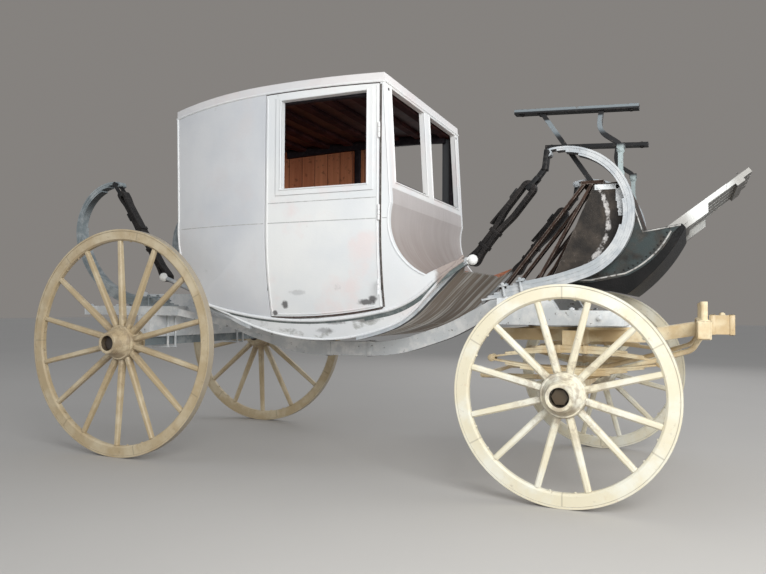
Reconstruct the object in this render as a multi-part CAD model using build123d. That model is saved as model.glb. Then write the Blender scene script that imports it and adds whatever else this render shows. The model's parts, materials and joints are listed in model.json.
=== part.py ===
from build123d import *
import os
from math import cos, degrees, hypot, radians, sin, sqrt

# A closed gala carriage for two, hung by leather braces between laminated C-springs.
# Lengths are in millimetres, +X is forward, +Y is the carriage's left, +Z is up.
# Side views are drawn as (x, z) with x counted from the rear axle. On export everything
# moves so that the origin lies on the ground, half way along the overall length.

# Clearances
SEAT = 0.3           # between a piece and the curved seat that carries it
SWING = 5.0          # around a door, so that it swings free
RUN = 0.3            # between an axle arm and the nave that turns on it
EPS = 1.0            # how far a cutter reaches past what it cuts

# Wheels: dished, with wooden felloes inside a shrunk-on iron tyre
REAR_WHEEL_R = 665.0
FRONT_WHEEL_R = 495.0
REAR_SPOKES = 14
FRONT_SPOKES = 12
WHEELBASE = 2550.0
REAR_HALF_TRACK = 765.0
FRONT_HALF_TRACK = 745.0
TYRE_WIDTH = 44.0
TYRE_THICK = 11.0
FELLOE_DEPTH = 56.0
FELLOE_WIDTH = 40.0
FELLOE_CHAMFER = 9.0
DISH = 34.0          # the spokes' feet lie this far inboard of the rim
SPOKE_FOOT = (34.0, 46.0)    # across the wheel's plane, then along its axle
SPOKE_TONGUE = (28.0, 30.0)
SPOKE_CHAMFER = 0.24         # share of the width
NAVE_LENGTH = 226.0
NAVE_R = 100.0
NAVE_NOSE_R = 58.0
NAVE_HEEL_R = 70.0
NAVE_BAND_R = 84.0
NAVE_BACK = 100.0    # heel of the nave, inboard of the spokes' feet
NOSE_RECESS_R = 43.0
NOSE_RECESS_DEPTH = 52.0
AXLE_ARM_R = 27.0
AXLE_NUT_R = 38.0
AXLE_NUT_THICK = 24.0
AXLE_BAR = 52.0

# Coach body: outline in the side view
BODY_REAR_X = 205.0
BODY_HALF = 627.0
BODY_REAR_HALF = 525.0
BELT_Z = 1334.0
TURN_UNDER_R = 1800.0
WALL = 30.0
ROOF_THICK = 52.0
ROOF_REAR = (BODY_REAR_X, 2066.0)
ROOF_CROWN = (930.0, 2114.0)
ROOF_FRONT = (1628.0, 2100.0)
BROW = (1668.0, 1420.0)
CHEST = (1716.0, 1152.0)
LAP = (1850.0, 1048.0)
LAP_RISE = (1945.0, 1091.0)
PROW = (2044.0, 1134.0)
PROW_FOOT = (1822.0, 909.0)
PROW_BEND = (1745.0, 839.0)
KEEL_FRONT = (1650.0, 784.0)
KEEL = (1180.0, 697.0)
KEEL_REAR = (617.0, 834.0)
STERN = (318.0, 1050.0)
STERN_TOP = (231.0, 1400.0)

# Moulding line between side panels and rockers
SILL_REAR = (430.0, 905.0)
SILL_LOW = (1000.0, 806.0)
SILL_FRONT = (1583.0, 856.0)
SILL_RISE = (1735.0, 903.0)
SILL_NECK = (1886.0, 1008.0)
SILL_TIP = (2044.0, 1117.0)

# Bottom boards of the prow part from its front panel along this line; its rim is scooped
PROW_SPLIT = (1862.0, 1003.0)
PROW_SPLIT_REAR_Z = 890.0
SCOOP_X = 1880.0
SCOOP_RIM = (480.0, 1140.0)
SCOOP_TURN = (420.0, 1090.0)
SCOOP_FLOOR = (300.0, 1077.0)

# Doors
DOOR_REAR_X = 912.0
DOOR_FRONT_X = 1600.0
DOOR_FOOT_REAR_Z = 828.0
DOOR_FOOT_MID = (1250.0, 836.0)
DOOR_FOOT_FRONT_Z = 884.0
LIGHT_X = (1014.0, 1530.0)
LIGHT_Z = (1528.0, 2014.0)
LIGHT_FRAME = 36.0
LIGHT_FRAME_PROUD = 6.0

# Front wall
FRONT_LIGHT_Y = (50.0, 545.0)
FRONT_LIGHT_Z = (1540.0, 2034.0)
FRONT_SPLIT_Z = 1500.0

# Inside
SEAT_TOP_Z = 1160.0
SEAT_FRONT_X = 700.0
SEAT_BOARD = 24.0
SEAT_HALF = 480.0
BOW_COUNT = 8
BOW_WIDTH = 56.0
BOW_DEPTH = 24.0
BOW_FIRST_X = 300.0
BOW_LAST_X = 1560.0

# Body loops: flat irons under the body that end in balls
LOOP_THICK = 16.0
LOOP_WIDTH = 44.0
LOOP_Y = 530.0
LOOP_BACK_X = 1440.0
LOOP_FRONT_X = 760.0
BALL_R = 27.0
BALL_NECK_R = 13.0
FRONT_BALL = (2074.0, 1122.0)
REAR_BALL = (124.0, 1057.0)

# C-springs
SPRING_Y = 470.0
LEAF_THICK = 10.0
LEAF_WIDTH = 56.0
LEAF_RELIEF = 1.5    # every second leaf is this much narrower at each edge
LEAF_GAP = 0.3
FRONT_SPRING = (2510.0, 1337.0)
FRONT_SPRING_R = 328.0
REAR_SPRING_X = -328.0
REAR_SPRING_R = 310.0
FRONT_TIP = 101.0    # degrees from level to the end of a spring's longest leaf
REAR_TIP = 95.0
LEAF_BACKS = (0.0, 6.0, 14.0, 26.0, 89.0, 114.0)
LEAF_STEP = 34.0
EYE_R = 19.0
EYE_SINK = 0.6       # share of its radius by which the eye stands clear of the leaf's end

# Braces
BRACE_WIDTH = 62.0
BRACE_THICK = 13.0
BRACE_Y = (SPRING_Y + LOOP_Y) / 2
FRONT_BRACE_BEND = (2386.0, 1507.0)
REAR_BRACE_BEND = (-124.0, 1429.0)
BRACE_BEND_R = 220.0

# Perch and rear carriage
PERCH_WIDTH = 60.0
PERCH_DEEP = 85.0
BED_TOP_Z = 823.0
BED_BOTTOM_Z = REAR_WHEEL_R + AXLE_BAR / 2
BED_WIDE = 92.0
BED_HALF = 560.0
RAIL_THICK = 57.0
RAIL_WIDE = 64.0
REAR_RAIL_X = (-549.0, 158.0)
WING_SIZE = 42.0

# Front carriage above the wheel plate
TRANSOM_Z = (800.0, 872.0)
TRANSOM_X = (2190.0, 2790.0)
INNER_RAIL_Y = 170.0
CROSS_WIDE = 90.0
PLATE_R = 300.0
PLATE_RING = 42.0
PLATE_THICK = 12.0
KING_R = 19.0

# Fore carriage, which steers
FUTCHELL_DEEP = 62.0
FUTCHELL_WIDE = 56.0
FUTCHELL_REAR_X = 2135.0
SPLINTER_X = 3127.0
SPLINTER_Z = 790.0
SPLINTER_SIZE = (50.0, 74.0)
SPLINTER_HALF = 600.0
ROLLER_R = 15.0
ROLLER_HIGH = 88.0
ROLLER_Y = (250.0, 560.0)
POLE_SOCKET_X = (3160.0, 3276.0)
POLE_SOCKET_SIZE = 96.0
POLE_BORE_R = 34.0
UNDER_SPRING_Y = 450.0
UNDER_SPRING_HALF = 400.0
UNDER_LEAF = 9.0
UNDER_LEAVES = 4
UNDER_WIDTH = 50.0
UNDER_LOW_Z = 560.0
UNDER_HIGH_Z = 704.0
STAY_R = 13.0
STAY_Y = 330.0
STAY_REAR_X = 2071.0

# Boot, coachman's irons and footboard
BOOT_HALF = 425.0
BOOT_WALL = 18.0
BOOT_TOP_REAR = (2648.0, 1480.0)
BOOT_TOP_FRONT = (2798.0, 1492.0)
BOOT_KNEE = (2874.0, 1249.0)
TOE_TOP = (3040.0, 1276.0)
TOE_TIP = (3056.0, 1258.0)
TOE_MID = (2947.0, 1091.0)
TOE_LOW = (2800.0, 950.0)
BOOT_FLOOR_REAR = (2440.0, 984.0)
BOOT_HEEL = (2640.0, 984.0)
PANEL_TIP = (2998.0, 1232.0)
PANEL_MID = (2920.0, 1122.0)
PANEL_LOW = (2796.0, 1038.0)
PANEL_HEEL = (2640.0, 1008.0)
PANEL_REAR = (2440.0, 1006.0)
SLAT_WIDE = 44.0
SLAT_THICK = 14.0
IRON_Y = BOOT_HALF - BOOT_WALL / 2
IRON_WIDE = 30.0
IRON_THICK = 22.0
SEAT_RAIL = ((2264.0, 1870.0), (2856.0, 1839.0))
FRONT_LEG = ((2684.0, 1846.0), (2672.0, 1742.0), (2771.0, 1668.0), (2771.0, 1460.0))
FRONT_LEG_R = (70.0, 34.0)
REAR_LEG = ((2395.0, 1862.0), (2672.0, 1440.0))
SEAT_RAIL_WIDE = 58.0
FOOTBOARD_REACH = 3343.0
FOOTBOARD_TIP_Z = 1549.0
FOOTBOARD_SLOPE = 38.4
FOOTBOARD_LENGTH = 470.0
FOOTBOARD_THICK = 24.0
BEARER_DEEP = 34.0
BEARER_WIDE = 36.0
BEARER_Y = 330.0
FOOTBOARD_SLATS = 6
FOOTBOARD_HALF = 400.0
FOOTBOARD_TIP_HALF = 235.0
FOOTBOARD_GAP = 16.0

SHIFT_X = -(FOOTBOARD_REACH - REAR_WHEEL_R) / 2


# Drawing helpers
def legs_to_edges(start, legs):
    """Edges from start: a leg is an end point, or a point on an arc and its end point."""
    edges = []
    here = start
    for leg in legs:
        if len(leg) == 1:
            edges.append(Line(here, leg[0]))
        else:
            edges.append(ThreePointArc(here, leg[0], leg[1]))
        here = leg[-1]
    if hypot(here[0] - start[0], here[1] - start[1]) > SEAT:
        edges.append(Line(here, start))
    return edges


def outline(start, *legs):
    """A closed face in the drawing plane."""
    return make_face(legs_to_edges(start, legs))


def circle_through(a, b, c):
    """Centre and radius of the circle through three points."""
    ax, ay = b[0] - a[0], b[1] - a[1]
    bx, by = c[0] - a[0], c[1] - a[1]
    cross = 2 * (ax * by - ay * bx)
    ux = (by * (ax ** 2 + ay ** 2) - ay * (bx ** 2 + by ** 2)) / cross
    uy = (ax * (bx ** 2 + by ** 2) - bx * (ax ** 2 + ay ** 2)) / cross
    return (a[0] + ux, a[1] + uy), hypot(ux, uy)


def on_circle(centre, radius, point):
    """The point of a circle in the direction of another point."""
    reach = hypot(point[0] - centre[0], point[1] - centre[1])
    return tuple(c + (p - c) * radius / reach for c, p in zip(centre, point))


def moved_leg(start, leg, inset):
    """A leg of a clockwise outline moved inwards: three points of its new line or circle."""
    if len(leg) == 1:
        run = (leg[0][0] - start[0], leg[0][1] - start[1])
        length = hypot(*run)
        step = (run[1] / length * inset, -run[0] / length * inset)
        ends = [(p[0] + step[0], p[1] + step[1]) for p in (start, leg[0])]
        return ends[0], None, ends[1]
    centre, radius = circle_through(start, *leg)
    turn = (leg[0][0] - start[0]) * (leg[1][1] - start[1])
    turn -= (leg[0][1] - start[1]) * (leg[1][0] - start[0])
    radius += inset if turn > 0 else -inset
    return tuple(on_circle(centre, radius, p) for p in (start, leg[0], leg[1]))


def crossing(first, second, near):
    """Where two moved legs cross, at the crossing closest to the corner they came from."""
    if first[1] is None and second[1] is not None:
        first, second = second, first
    if first[1] is None:
        run = (first[2][0] - first[0][0], first[2][1] - first[0][1])
        other = (second[2][0] - second[0][0], second[2][1] - second[0][1])
        gap = (second[0][0] - first[0][0], second[0][1] - first[0][1])
        share = (gap[0] * other[1] - gap[1] * other[0]) / (run[0] * other[1] - run[1] * other[0])
        return (first[0][0] + share * run[0], first[0][1] + share * run[1])
    centre, radius = circle_through(*first)
    if second[1] is None:
        base = second[0]
        run = (second[2][0] - base[0], second[2][1] - base[1])
    else:
        far, far_r = circle_through(*second)
        gap = (far[0] - centre[0], far[1] - centre[1])
        span = hypot(*gap)
        along = (span ** 2 + radius ** 2 - far_r ** 2) / (2 * span)
        base = (centre[0] + gap[0] * along / span, centre[1] + gap[1] * along / span)
        run = (-gap[1], gap[0])
    length = hypot(*run)
    run = (run[0] / length, run[1] / length)
    offset_x, offset_z = centre[0] - base[0], centre[1] - base[1]
    foot = offset_x * run[0] + offset_z * run[1]
    away = offset_x ** 2 + offset_z ** 2 - foot ** 2
    half = sqrt(max(radius ** 2 - away, 0))
    found = [(base[0] + (foot + s) * run[0], base[1] + (foot + s) * run[1]) for s in (half, -half)]
    return min(found, key=lambda p: hypot(p[0] - near[0], p[1] - near[1]))


def inset_outline(inset, start, *legs):
    """A closed face whose every leg lies inset inside the given clockwise outline."""
    corners = [start] + [leg[-1] for leg in legs]
    if corners[-1] != start:
        legs = (*legs, [start])
    else:
        corners.pop()
    moved = [moved_leg(corner, leg, inset) for corner, leg in zip(corners, legs)]
    joints = [
        crossing(moved[index - 1], moved[index], corner) for index, corner in enumerate(corners)
    ]
    new_legs = []
    for index, leg in enumerate(moved):
        end = joints[(index + 1) % len(joints)]
        if leg[1] is None:
            new_legs.append([end])
        else:
            chord_middle = [(a + b) / 2 for a, b in zip(joints[index], end)]
            new_legs.append([on_circle(*circle_through(*leg), chord_middle), end])
    return outline(joints[0], *new_legs)


def side_slab(face, y_low, y_high):
    """A side-view face made solid between two distances from the middle."""
    slab = extrude(Plane.XZ * face, (y_high - y_low) / 2, both=True)
    return Pos(0, (y_low + y_high) / 2, 0) * slab


def mirror_pair(solid):
    """The piece and its image on the other side of the carriage."""
    return solid + mirror(solid, Plane.XZ)


def block(x_span, y_span, z_span):
    """A box given by its three spans."""
    size = [high - low for low, high in (x_span, y_span, z_span)]
    middle = [(high + low) / 2 for low, high in (x_span, y_span, z_span)]
    return Pos(*middle) * Box(*size)


def bent_bar(points, radii, across, deep, y_middle):
    """A flat bar of constant section along a filleted side-view path."""
    path = Plane.XZ * FilletPolyline(*points, radius=radii)
    section = Plane(origin=path @ 0, x_dir=(0, 1, 0), z_dir=path % 0) * Rectangle(across, deep)
    return Pos(0, y_middle, 0) * sweep(section, path=path)


def strut(start, end, across, deep):
    """A straight rectangular bar between two points in space."""
    run = Vector(*end) - Vector(*start)
    frame = Plane(origin=start, z_dir=run, x_dir=run.cross(Vector(0, 0, 1)))
    return extrude(frame * Rectangle(across, deep), run.length)


def rod(start, end, radius):
    """A straight round bar between two points in space."""
    run = Vector(*end) - Vector(*start)
    return extrude(Plane(origin=start, z_dir=run) * Circle(radius), run.length)


def across_y(x, z, radius, y_low, y_high):
    """A round bar across the carriage."""
    return rod((x, y_low, z), (x, y_high, z), radius)


def save(name, shape):
    """Write one named piece in the carriage's own frame."""
    export_step(Pos(SHIFT_X, 0, 0) * shape, f"parts/{name}.step")


# Coach body: three prisms cross to give the hull, and their offsets give its walls
BODY_SIDE = (
    ROOF_REAR,
    [ROOF_CROWN, ROOF_FRONT],
    [BROW],
    [CHEST, LAP],
    [LAP_RISE, PROW],
    [PROW_FOOT],
    [PROW_BEND, KEEL_FRONT],
    [KEEL, KEEL_REAR],
    [STERN, STERN_TOP],
)


def body_plan(inset):
    """Plan view: parallel beside the doors, drawn in towards both ends."""
    taper = DOOR_REAR_X - BODY_REAR_X
    drop = BODY_HALF - BODY_REAR_HALF
    plan_r = (taper ** 2 + drop ** 2) / (2 * drop) - inset
    half = BODY_HALF - inset

    def at(x, pivot):
        return half - plan_r + sqrt(plan_r ** 2 - (x - pivot) ** 2)

    rear_x = BODY_REAR_X - 2 * WALL
    front_x = PROW[0] + 2 * WALL
    rear = (rear_x, at(rear_x, DOOR_REAR_X))
    rear_mid = ((rear_x + DOOR_REAR_X) / 2, at((rear_x + DOOR_REAR_X) / 2, DOOR_REAR_X))
    front = (front_x, at(front_x, DOOR_FRONT_X))
    front_mid = ((front_x + DOOR_FRONT_X) / 2, at((front_x + DOOR_FRONT_X) / 2, DOOR_FRONT_X))
    half_plan = outline(
        (rear_x, 0),
        [rear],
        [rear_mid, (DOOR_REAR_X, half)],
        [(DOOR_FRONT_X, half)],
        [front_mid, front],
        [(front_x, 0)],
    )
    return half_plan + mirror(half_plan, Plane.XZ)


def body_section(inset):
    """Cross section: upright above the belt, curving in below it."""
    turn_r = TURN_UNDER_R - inset
    half = BODY_HALF - inset
    low = BELT_Z - turn_r * sin(radians(24))
    mid = BELT_Z - turn_r * sin(radians(12))
    low_half = half - turn_r * (1 - cos(radians(24)))
    mid_half = half - turn_r * (1 - cos(radians(12)))
    top = ROOF_CROWN[1] + 2 * WALL
    return outline(
        (-half, top),
        [(half, top)],
        [(half, BELT_Z)],
        [(mid_half, mid), (low_half, low)],
        [(-low_half, low)],
        [(-mid_half, mid), (-half, BELT_Z)],
    )


def hull_width(inset):
    """Everything between the two side surfaces, moved in by inset."""
    plan = extrude(body_plan(inset), ROOF_CROWN[1] + 2 * WALL)
    x_low = BODY_REAR_X - 3 * WALL
    x_high = PROW[0] + 3 * WALL
    section = extrude(Plane.YZ * body_section(inset), x_high - x_low)
    return plan & (Pos(x_low, 0, 0) * section)


def side_prism(inset):
    """The side outline moved in by inset, as a wide prism."""
    return side_slab(inset_outline(inset, *BODY_SIDE), -BODY_HALF - WALL, BODY_HALF + WALL)


def under_roof(drop):
    """Everything lower than the roof's underside, less a clearance."""
    fall = ROOF_THICK + drop

    def lowered(point, reach=0.0):
        return (point[0] + reach, point[1] - fall)

    face = outline(
        lowered(ROOF_REAR, -4 * WALL),
        [lowered(ROOF_REAR)],
        [lowered(ROOF_CROWN), lowered(ROOF_FRONT)],
        [lowered(ROOF_FRONT, 20 * WALL)],
        [(ROOF_FRONT[0] + 20 * WALL, 0)],
        [(ROOF_REAR[0] - 4 * WALL, 0)],
    )
    return side_slab(face, -BODY_HALF - WALL, BODY_HALF + WALL)


def door_outline(grow):
    """The doorway in the side view, or with no growth the door itself."""
    rear_x = DOOR_REAR_X - grow
    front_x = DOOR_FRONT_X + grow
    return outline(
        (rear_x, ROOF_CROWN[1] + WALL),
        [(rear_x, DOOR_FOOT_REAR_Z - grow)],
        [(DOOR_FOOT_MID[0], DOOR_FOOT_MID[1] - grow), (front_x, DOOR_FOOT_FRONT_Z - grow)],
        [(front_x, ROOF_CROWN[1] + WALL)],
    )


def below_sill(drop):
    """Everything under the moulding line, and under the doorway between its posts."""

    def lowered(point):
        return (point[0], point[1] - drop)

    face = outline(
        lowered(SILL_REAR),
        [lowered(SILL_LOW), lowered(SILL_FRONT)],
        [lowered(SILL_RISE), lowered(SILL_NECK)],
        [lowered(SILL_TIP)],
        [(SILL_TIP[0] + 3 * WALL, SILL_TIP[1] - drop)],
        [(SILL_TIP[0] + 3 * WALL, 0)],
        [(0, 0)],
        [(0, SILL_REAR[1] - drop)],
    )
    under_door = outline(
        (DOOR_REAR_X - SWING + drop, DOOR_FOOT_REAR_Z - SWING),
        [
            (DOOR_FOOT_MID[0], DOOR_FOOT_MID[1] - SWING),
            (DOOR_FRONT_X + SWING - drop, DOOR_FOOT_FRONT_Z - SWING),
        ],
        [(DOOR_FRONT_X + SWING - drop, 0)],
        [(DOOR_REAR_X - SWING + drop, 0)],
    )
    return side_slab(face + under_door, 0, BODY_HALF + WALL)


def make_body():
    """The hull's panels, each cut from the crossing prisms."""
    outer = hull_width(0)
    inner = hull_width(WALL)
    inner_free = hull_width(WALL + SEAT)
    profile = side_prism(0)
    hollow = side_prism(WALL)

    hull = outer & profile
    roof = hull - under_roof(0)
    save("roof", roof)

    walls = (hull - inner) & under_roof(SEAT)
    left_wall = walls & block((-500, 3000), (0, 900), (0, 2500))
    sill = below_sill(0)
    rocker = left_wall & below_sill(SEAT)
    upper = left_wall - sill
    quarter = upper & block((-500, DOOR_REAR_X - SWING), (0, 900), (0, 2500))
    flank = upper & block((DOOR_FRONT_X + SWING, 3000), (0, 900), (0, 2500))
    leaf = extrude(Plane.YZ * (body_section(0) - body_section(WALL)), DOOR_FRONT_X - DOOR_REAR_X)
    door = Pos(DOOR_REAR_X, 0, 0) * leaf
    door = door & side_slab(door_outline(0), 0, BODY_HALF + WALL) & under_roof(SWING)
    frame = block(
        (LIGHT_X[0] - LIGHT_FRAME, LIGHT_X[1] + LIGHT_FRAME),
        (BODY_HALF - WALL / 2, BODY_HALF + LIGHT_FRAME_PROUD),
        (LIGHT_Z[0] - LIGHT_FRAME, LIGHT_Z[1] + LIGHT_FRAME / 2),
    )
    door = door + frame - block(LIGHT_X, (0, 900), LIGHT_Z)
    for name, piece in (("quarter", quarter), ("flank", flank), ("door", door), ("rocker", rocker)):
        save(f"left_{name}", piece)
        save(f"right_{name}", mirror(piece, Plane.XZ))

    belly = (profile - hollow) & inner_free & under_roof(SEAT)
    behind = block((-500, KEEL_REAR[0]), (-900, 900), (0, 2500))
    amid = block((KEEL_REAR[0], KEEL_FRONT[0]), (-900, 900), (0, 1000))
    save("rear_panel", belly & behind)
    save("floor_boards", belly & amid)
    ahead = belly & block((BROW[0] - 4 * WALL, 3000), (-900, 900), (0, 2500)) - behind
    beyond = PROW[0] + 4 * WALL
    rise = (PROW[1] - PROW_SPLIT[1]) / (PROW[0] - PROW_SPLIT[0])
    prow_cut = outline(
        (beyond, PROW[1] + 4 * WALL * rise),
        [PROW_SPLIT],
        [(KEEL_FRONT[0], PROW_SPLIT_REAR_Z)],
        [(KEEL_FRONT[0], 0)],
        [(beyond, 0)],
    )
    prow_low = side_slab(prow_cut, -900, 900)
    scoop_face = outline(
        (-SCOOP_RIM[0], SCOOP_RIM[1]),
        [(SCOOP_RIM[0], SCOOP_RIM[1])],
        [SCOOP_TURN, SCOOP_FLOOR],
        [(-SCOOP_FLOOR[0], SCOOP_FLOOR[1])],
        [(-SCOOP_TURN[0], SCOOP_TURN[1]), (-SCOOP_RIM[0], SCOOP_RIM[1])],
    )
    ahead -= Pos(SCOOP_X, 0, 0) * extrude(Plane.YZ * scoop_face, beyond - SCOOP_X)
    save("prow_boards", ahead & prow_low)
    chest = (ahead - prow_low) & block((1500, 3000), (-900, 900), (900, FRONT_SPLIT_Z))
    save("front_panel", chest)
    window_wall = belly & block((1500, 3000), (-900, 900), (FRONT_SPLIT_Z, 2500))
    for side in (1, -1):
        span = sorted((side * FRONT_LIGHT_Y[0], side * FRONT_LIGHT_Y[1]))
        window_wall -= block((1500, 1800), span, FRONT_LIGHT_Z)
    save("front_window_frame", window_wall)

    inside = inner_free & side_prism(WALL + SEAT) & under_roof(SEAT)
    seat = block(
        (0, SEAT_FRONT_X), (-SEAT_HALF, SEAT_HALF), (SEAT_TOP_Z - SEAT_BOARD, SEAT_TOP_Z)
    ) + block(
        (SEAT_FRONT_X - SEAT_BOARD, SEAT_FRONT_X),
        (-SEAT_HALF, SEAT_HALF),
        (KEEL[1], SEAT_TOP_Z - SEAT_BOARD),
    )
    save("seat_box", seat & inside)
    bows = []
    above = under_roof(BOW_DEPTH)
    for index in range(BOW_COUNT):
        x = BOW_FIRST_X + (BOW_LAST_X - BOW_FIRST_X) * index / (BOW_COUNT - 1)
        blank = block((x - BOW_WIDTH / 2, x + BOW_WIDTH / 2), (-900, 900), (1900, 2500))
        bows.append((blank & inside) - above)
    save("roof_bows", Compound(children=bows))


def make_loops():
    """Flat irons under the hull's edge, each drawn out to a ball for its brace."""
    skin = side_slab(
        inset_outline(-LOOP_THICK - SEAT, *BODY_SIDE) - inset_outline(-SEAT, *BODY_SIDE),
        LOOP_Y - LOOP_WIDTH / 2,
        LOOP_Y + LOOP_WIDTH / 2,
    )
    front = skin & side_slab(
        outline(
            (LOOP_BACK_X, 0), [(LOOP_BACK_X, 800)], [(KEEL_FRONT[0], 900)],
            [(PROW[0], PROW[1])], [(PROW[0] + 300, PROW[1])], [(PROW[0] + 300, 0)],
        ),
        0, 900,
    )
    ball = Pos(FRONT_BALL[0], LOOP_Y, FRONT_BALL[1]) * Sphere(BALL_R)
    neck = rod((PROW[0] - 22, LOOP_Y, PROW[1] - 38), (FRONT_BALL[0], LOOP_Y, FRONT_BALL[1]), BALL_NECK_R)
    front = front + (neck - side_prism(-SEAT)) + ball
    rear = skin & side_slab(
        outline(
            (LOOP_FRONT_X, 0), [(LOOP_FRONT_X, 840)], [(420, 1010)],
            [(STERN[0] + 60, STERN[1] - 20)], [(0, STERN[1] - 60)], [(0, 0)],
        ),
        0, 900,
    )
    ball = Pos(REAR_BALL[0], LOOP_Y, REAR_BALL[1]) * Sphere(BALL_R)
    neck = rod((352, LOOP_Y, 972), (REAR_BALL[0], LOOP_Y, REAR_BALL[1]), BALL_NECK_R)
    rear = rear + (neck - side_prism(-SEAT)) + ball
    save("front_body_loops", mirror_pair(front))
    save("rear_body_loops", mirror_pair(rear))


# C-springs
def spring_path(depth, tip, bend_from, low_r, turn, arm, radius):
    """One face of a leaf, depth inside the spring's back, from tip to the arm's end.

    Drawn for a spring whose back faces +X about its own centre.
    """
    r = radius - depth
    leave = radians(bend_from)
    start = radians(tip)
    middle = (start + leave) / 2
    first = ThreePointArc(
        (r * cos(start), r * sin(start)),
        (r * cos(middle), r * sin(middle)),
        (r * cos(leave), r * sin(leave)),
    )
    low = low_r - depth
    centre = ((radius - low_r) * cos(leave), (radius - low_r) * sin(leave))
    halfway = leave - radians(turn) / 2
    end = leave - radians(turn)
    p_mid = (centre[0] + low * cos(halfway), centre[1] + low * sin(halfway))
    p_end = (centre[0] + low * cos(end), centre[1] + low * sin(end))
    second = ThreePointArc((r * cos(leave), r * sin(leave)), p_mid, p_end)
    away = (sin(end), -cos(end))
    tail = (p_end[0] + arm * away[0], p_end[1] + arm * away[1])
    return [first, second, Line(p_end, tail)], tail


def c_spring(radius, longest, bend_from, low_r, turn, arm):
    """A laminated C-spring: leaves stepped back one from the next, every second one narrower."""
    leaves = []
    for index, behind in enumerate(LEAF_BACKS):
        tip = longest - behind
        back = index * LEAF_THICK
        front = (index + 1) * LEAF_THICK
        reach = arm - index * LEAF_STEP
        outer, outer_tail = spring_path(back, tip, bend_from, low_r, turn, reach, radius)
        inner, inner_tail = spring_path(front, tip, bend_from, low_r, turn, reach, radius)
        face = make_face(
            outer + [Line(outer_tail, inner_tail)] + inner + [Line(outer[0] @ 0, inner[0] @ 0)]
        )
        half = LEAF_WIDTH / 2 - (LEAF_RELIEF if index % 2 else 0)
        leaves.append(side_slab(face, -half, half))
    eye_at = radius - EYE_R
    tip_angle = radians(longest + degrees(EYE_SINK * EYE_R / eye_at))
    spring = across_y(
        eye_at * cos(tip_angle), eye_at * sin(tip_angle), EYE_R, -LEAF_WIDTH / 2, LEAF_WIDTH / 2
    )
    for leaf in leaves:
        spring += leaf
    return spring


FRONT_BEND = (-70.0, 1500.0, 10.0, 262.0)
REAR_BEND = (-20.0, 580.0, 70.0, 240.0)


def spring_drop(radius, bend):
    """How far the arm's back face ends below the spring's centre."""
    leave, low_r, turn, arm = bend
    end = radians(leave - turn)
    return -((radius - low_r) * sin(radians(leave)) + low_r * sin(end) - arm * cos(end))


REAR_SPRING = (
    REAR_SPRING_X,
    BED_TOP_Z + RAIL_THICK + SEAT + spring_drop(REAR_SPRING_R, REAR_BEND),
)


def eye_centre(centre, radius, longest, facing):
    """Where a spring's rolled eye lies in the side view."""
    eye_at = radius - EYE_R
    angle = radians(longest + degrees(EYE_SINK * EYE_R / eye_at))
    return (centre[0] + facing * eye_at * cos(angle), centre[1] + eye_at * sin(angle))


def make_springs():
    """Two springs at each end of the carriage, backs outwards."""
    front = c_spring(FRONT_SPRING_R, FRONT_TIP, *FRONT_BEND)
    rear = mirror(c_spring(REAR_SPRING_R, REAR_TIP, *REAR_BEND), Plane.YZ)
    for name, spring, place in (("front", front, FRONT_SPRING), ("rear", rear, REAR_SPRING)):
        save(f"{name}_c_springs", mirror_pair(Pos(place[0], SPRING_Y, place[1]) * spring))


def make_braces():
    """Leather braces from the springs' eyes down to the balls of the body loops."""
    front_eye = eye_centre(FRONT_SPRING, FRONT_SPRING_R, FRONT_TIP, 1)
    rear_eye = eye_centre(REAR_SPRING, REAR_SPRING_R, REAR_TIP, -1)
    routes = (
        ("front", front_eye, FRONT_BALL, FRONT_BRACE_BEND),
        ("rear", rear_eye, REAR_BALL, REAR_BRACE_BEND),
    )
    for name, eye, ball, bend in routes:
        strap = bent_bar([eye, bend, ball], BRACE_BEND_R, BRACE_WIDTH, BRACE_THICK, BRACE_Y)
        strap -= across_y(eye[0], eye[1], EYE_R + SEAT, BRACE_Y - 200, BRACE_Y + 200)
        strap -= Pos(ball[0], LOOP_Y, ball[1]) * Sphere(BALL_R + SEAT)
        strap = strap.solids().sort_by(SortBy.VOLUME)[-1]
        save(f"{name}_braces", mirror_pair(strap))


def perch_bar(grow):
    """The perch, dipping under the body from the rear bed to the front transom."""
    rear_z = BED_TOP_Z + RAIL_THICK + SEAT + PERCH_DEEP / 2
    front_z = TRANSOM_Z[1] + SEAT + PERCH_DEEP / 2
    return bent_bar(
        [
            (REAR_RAIL_X[0], rear_z), (60, rear_z), (330, 755), (800, 622),
            (1450, 632), (1800, 750), (2104, front_z), (2330, front_z),
        ],
        [300, 900, 1200, 1000, 900, 220],
        PERCH_WIDTH + 2 * grow, PERCH_DEEP + 2 * grow, 0,
    )


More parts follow.
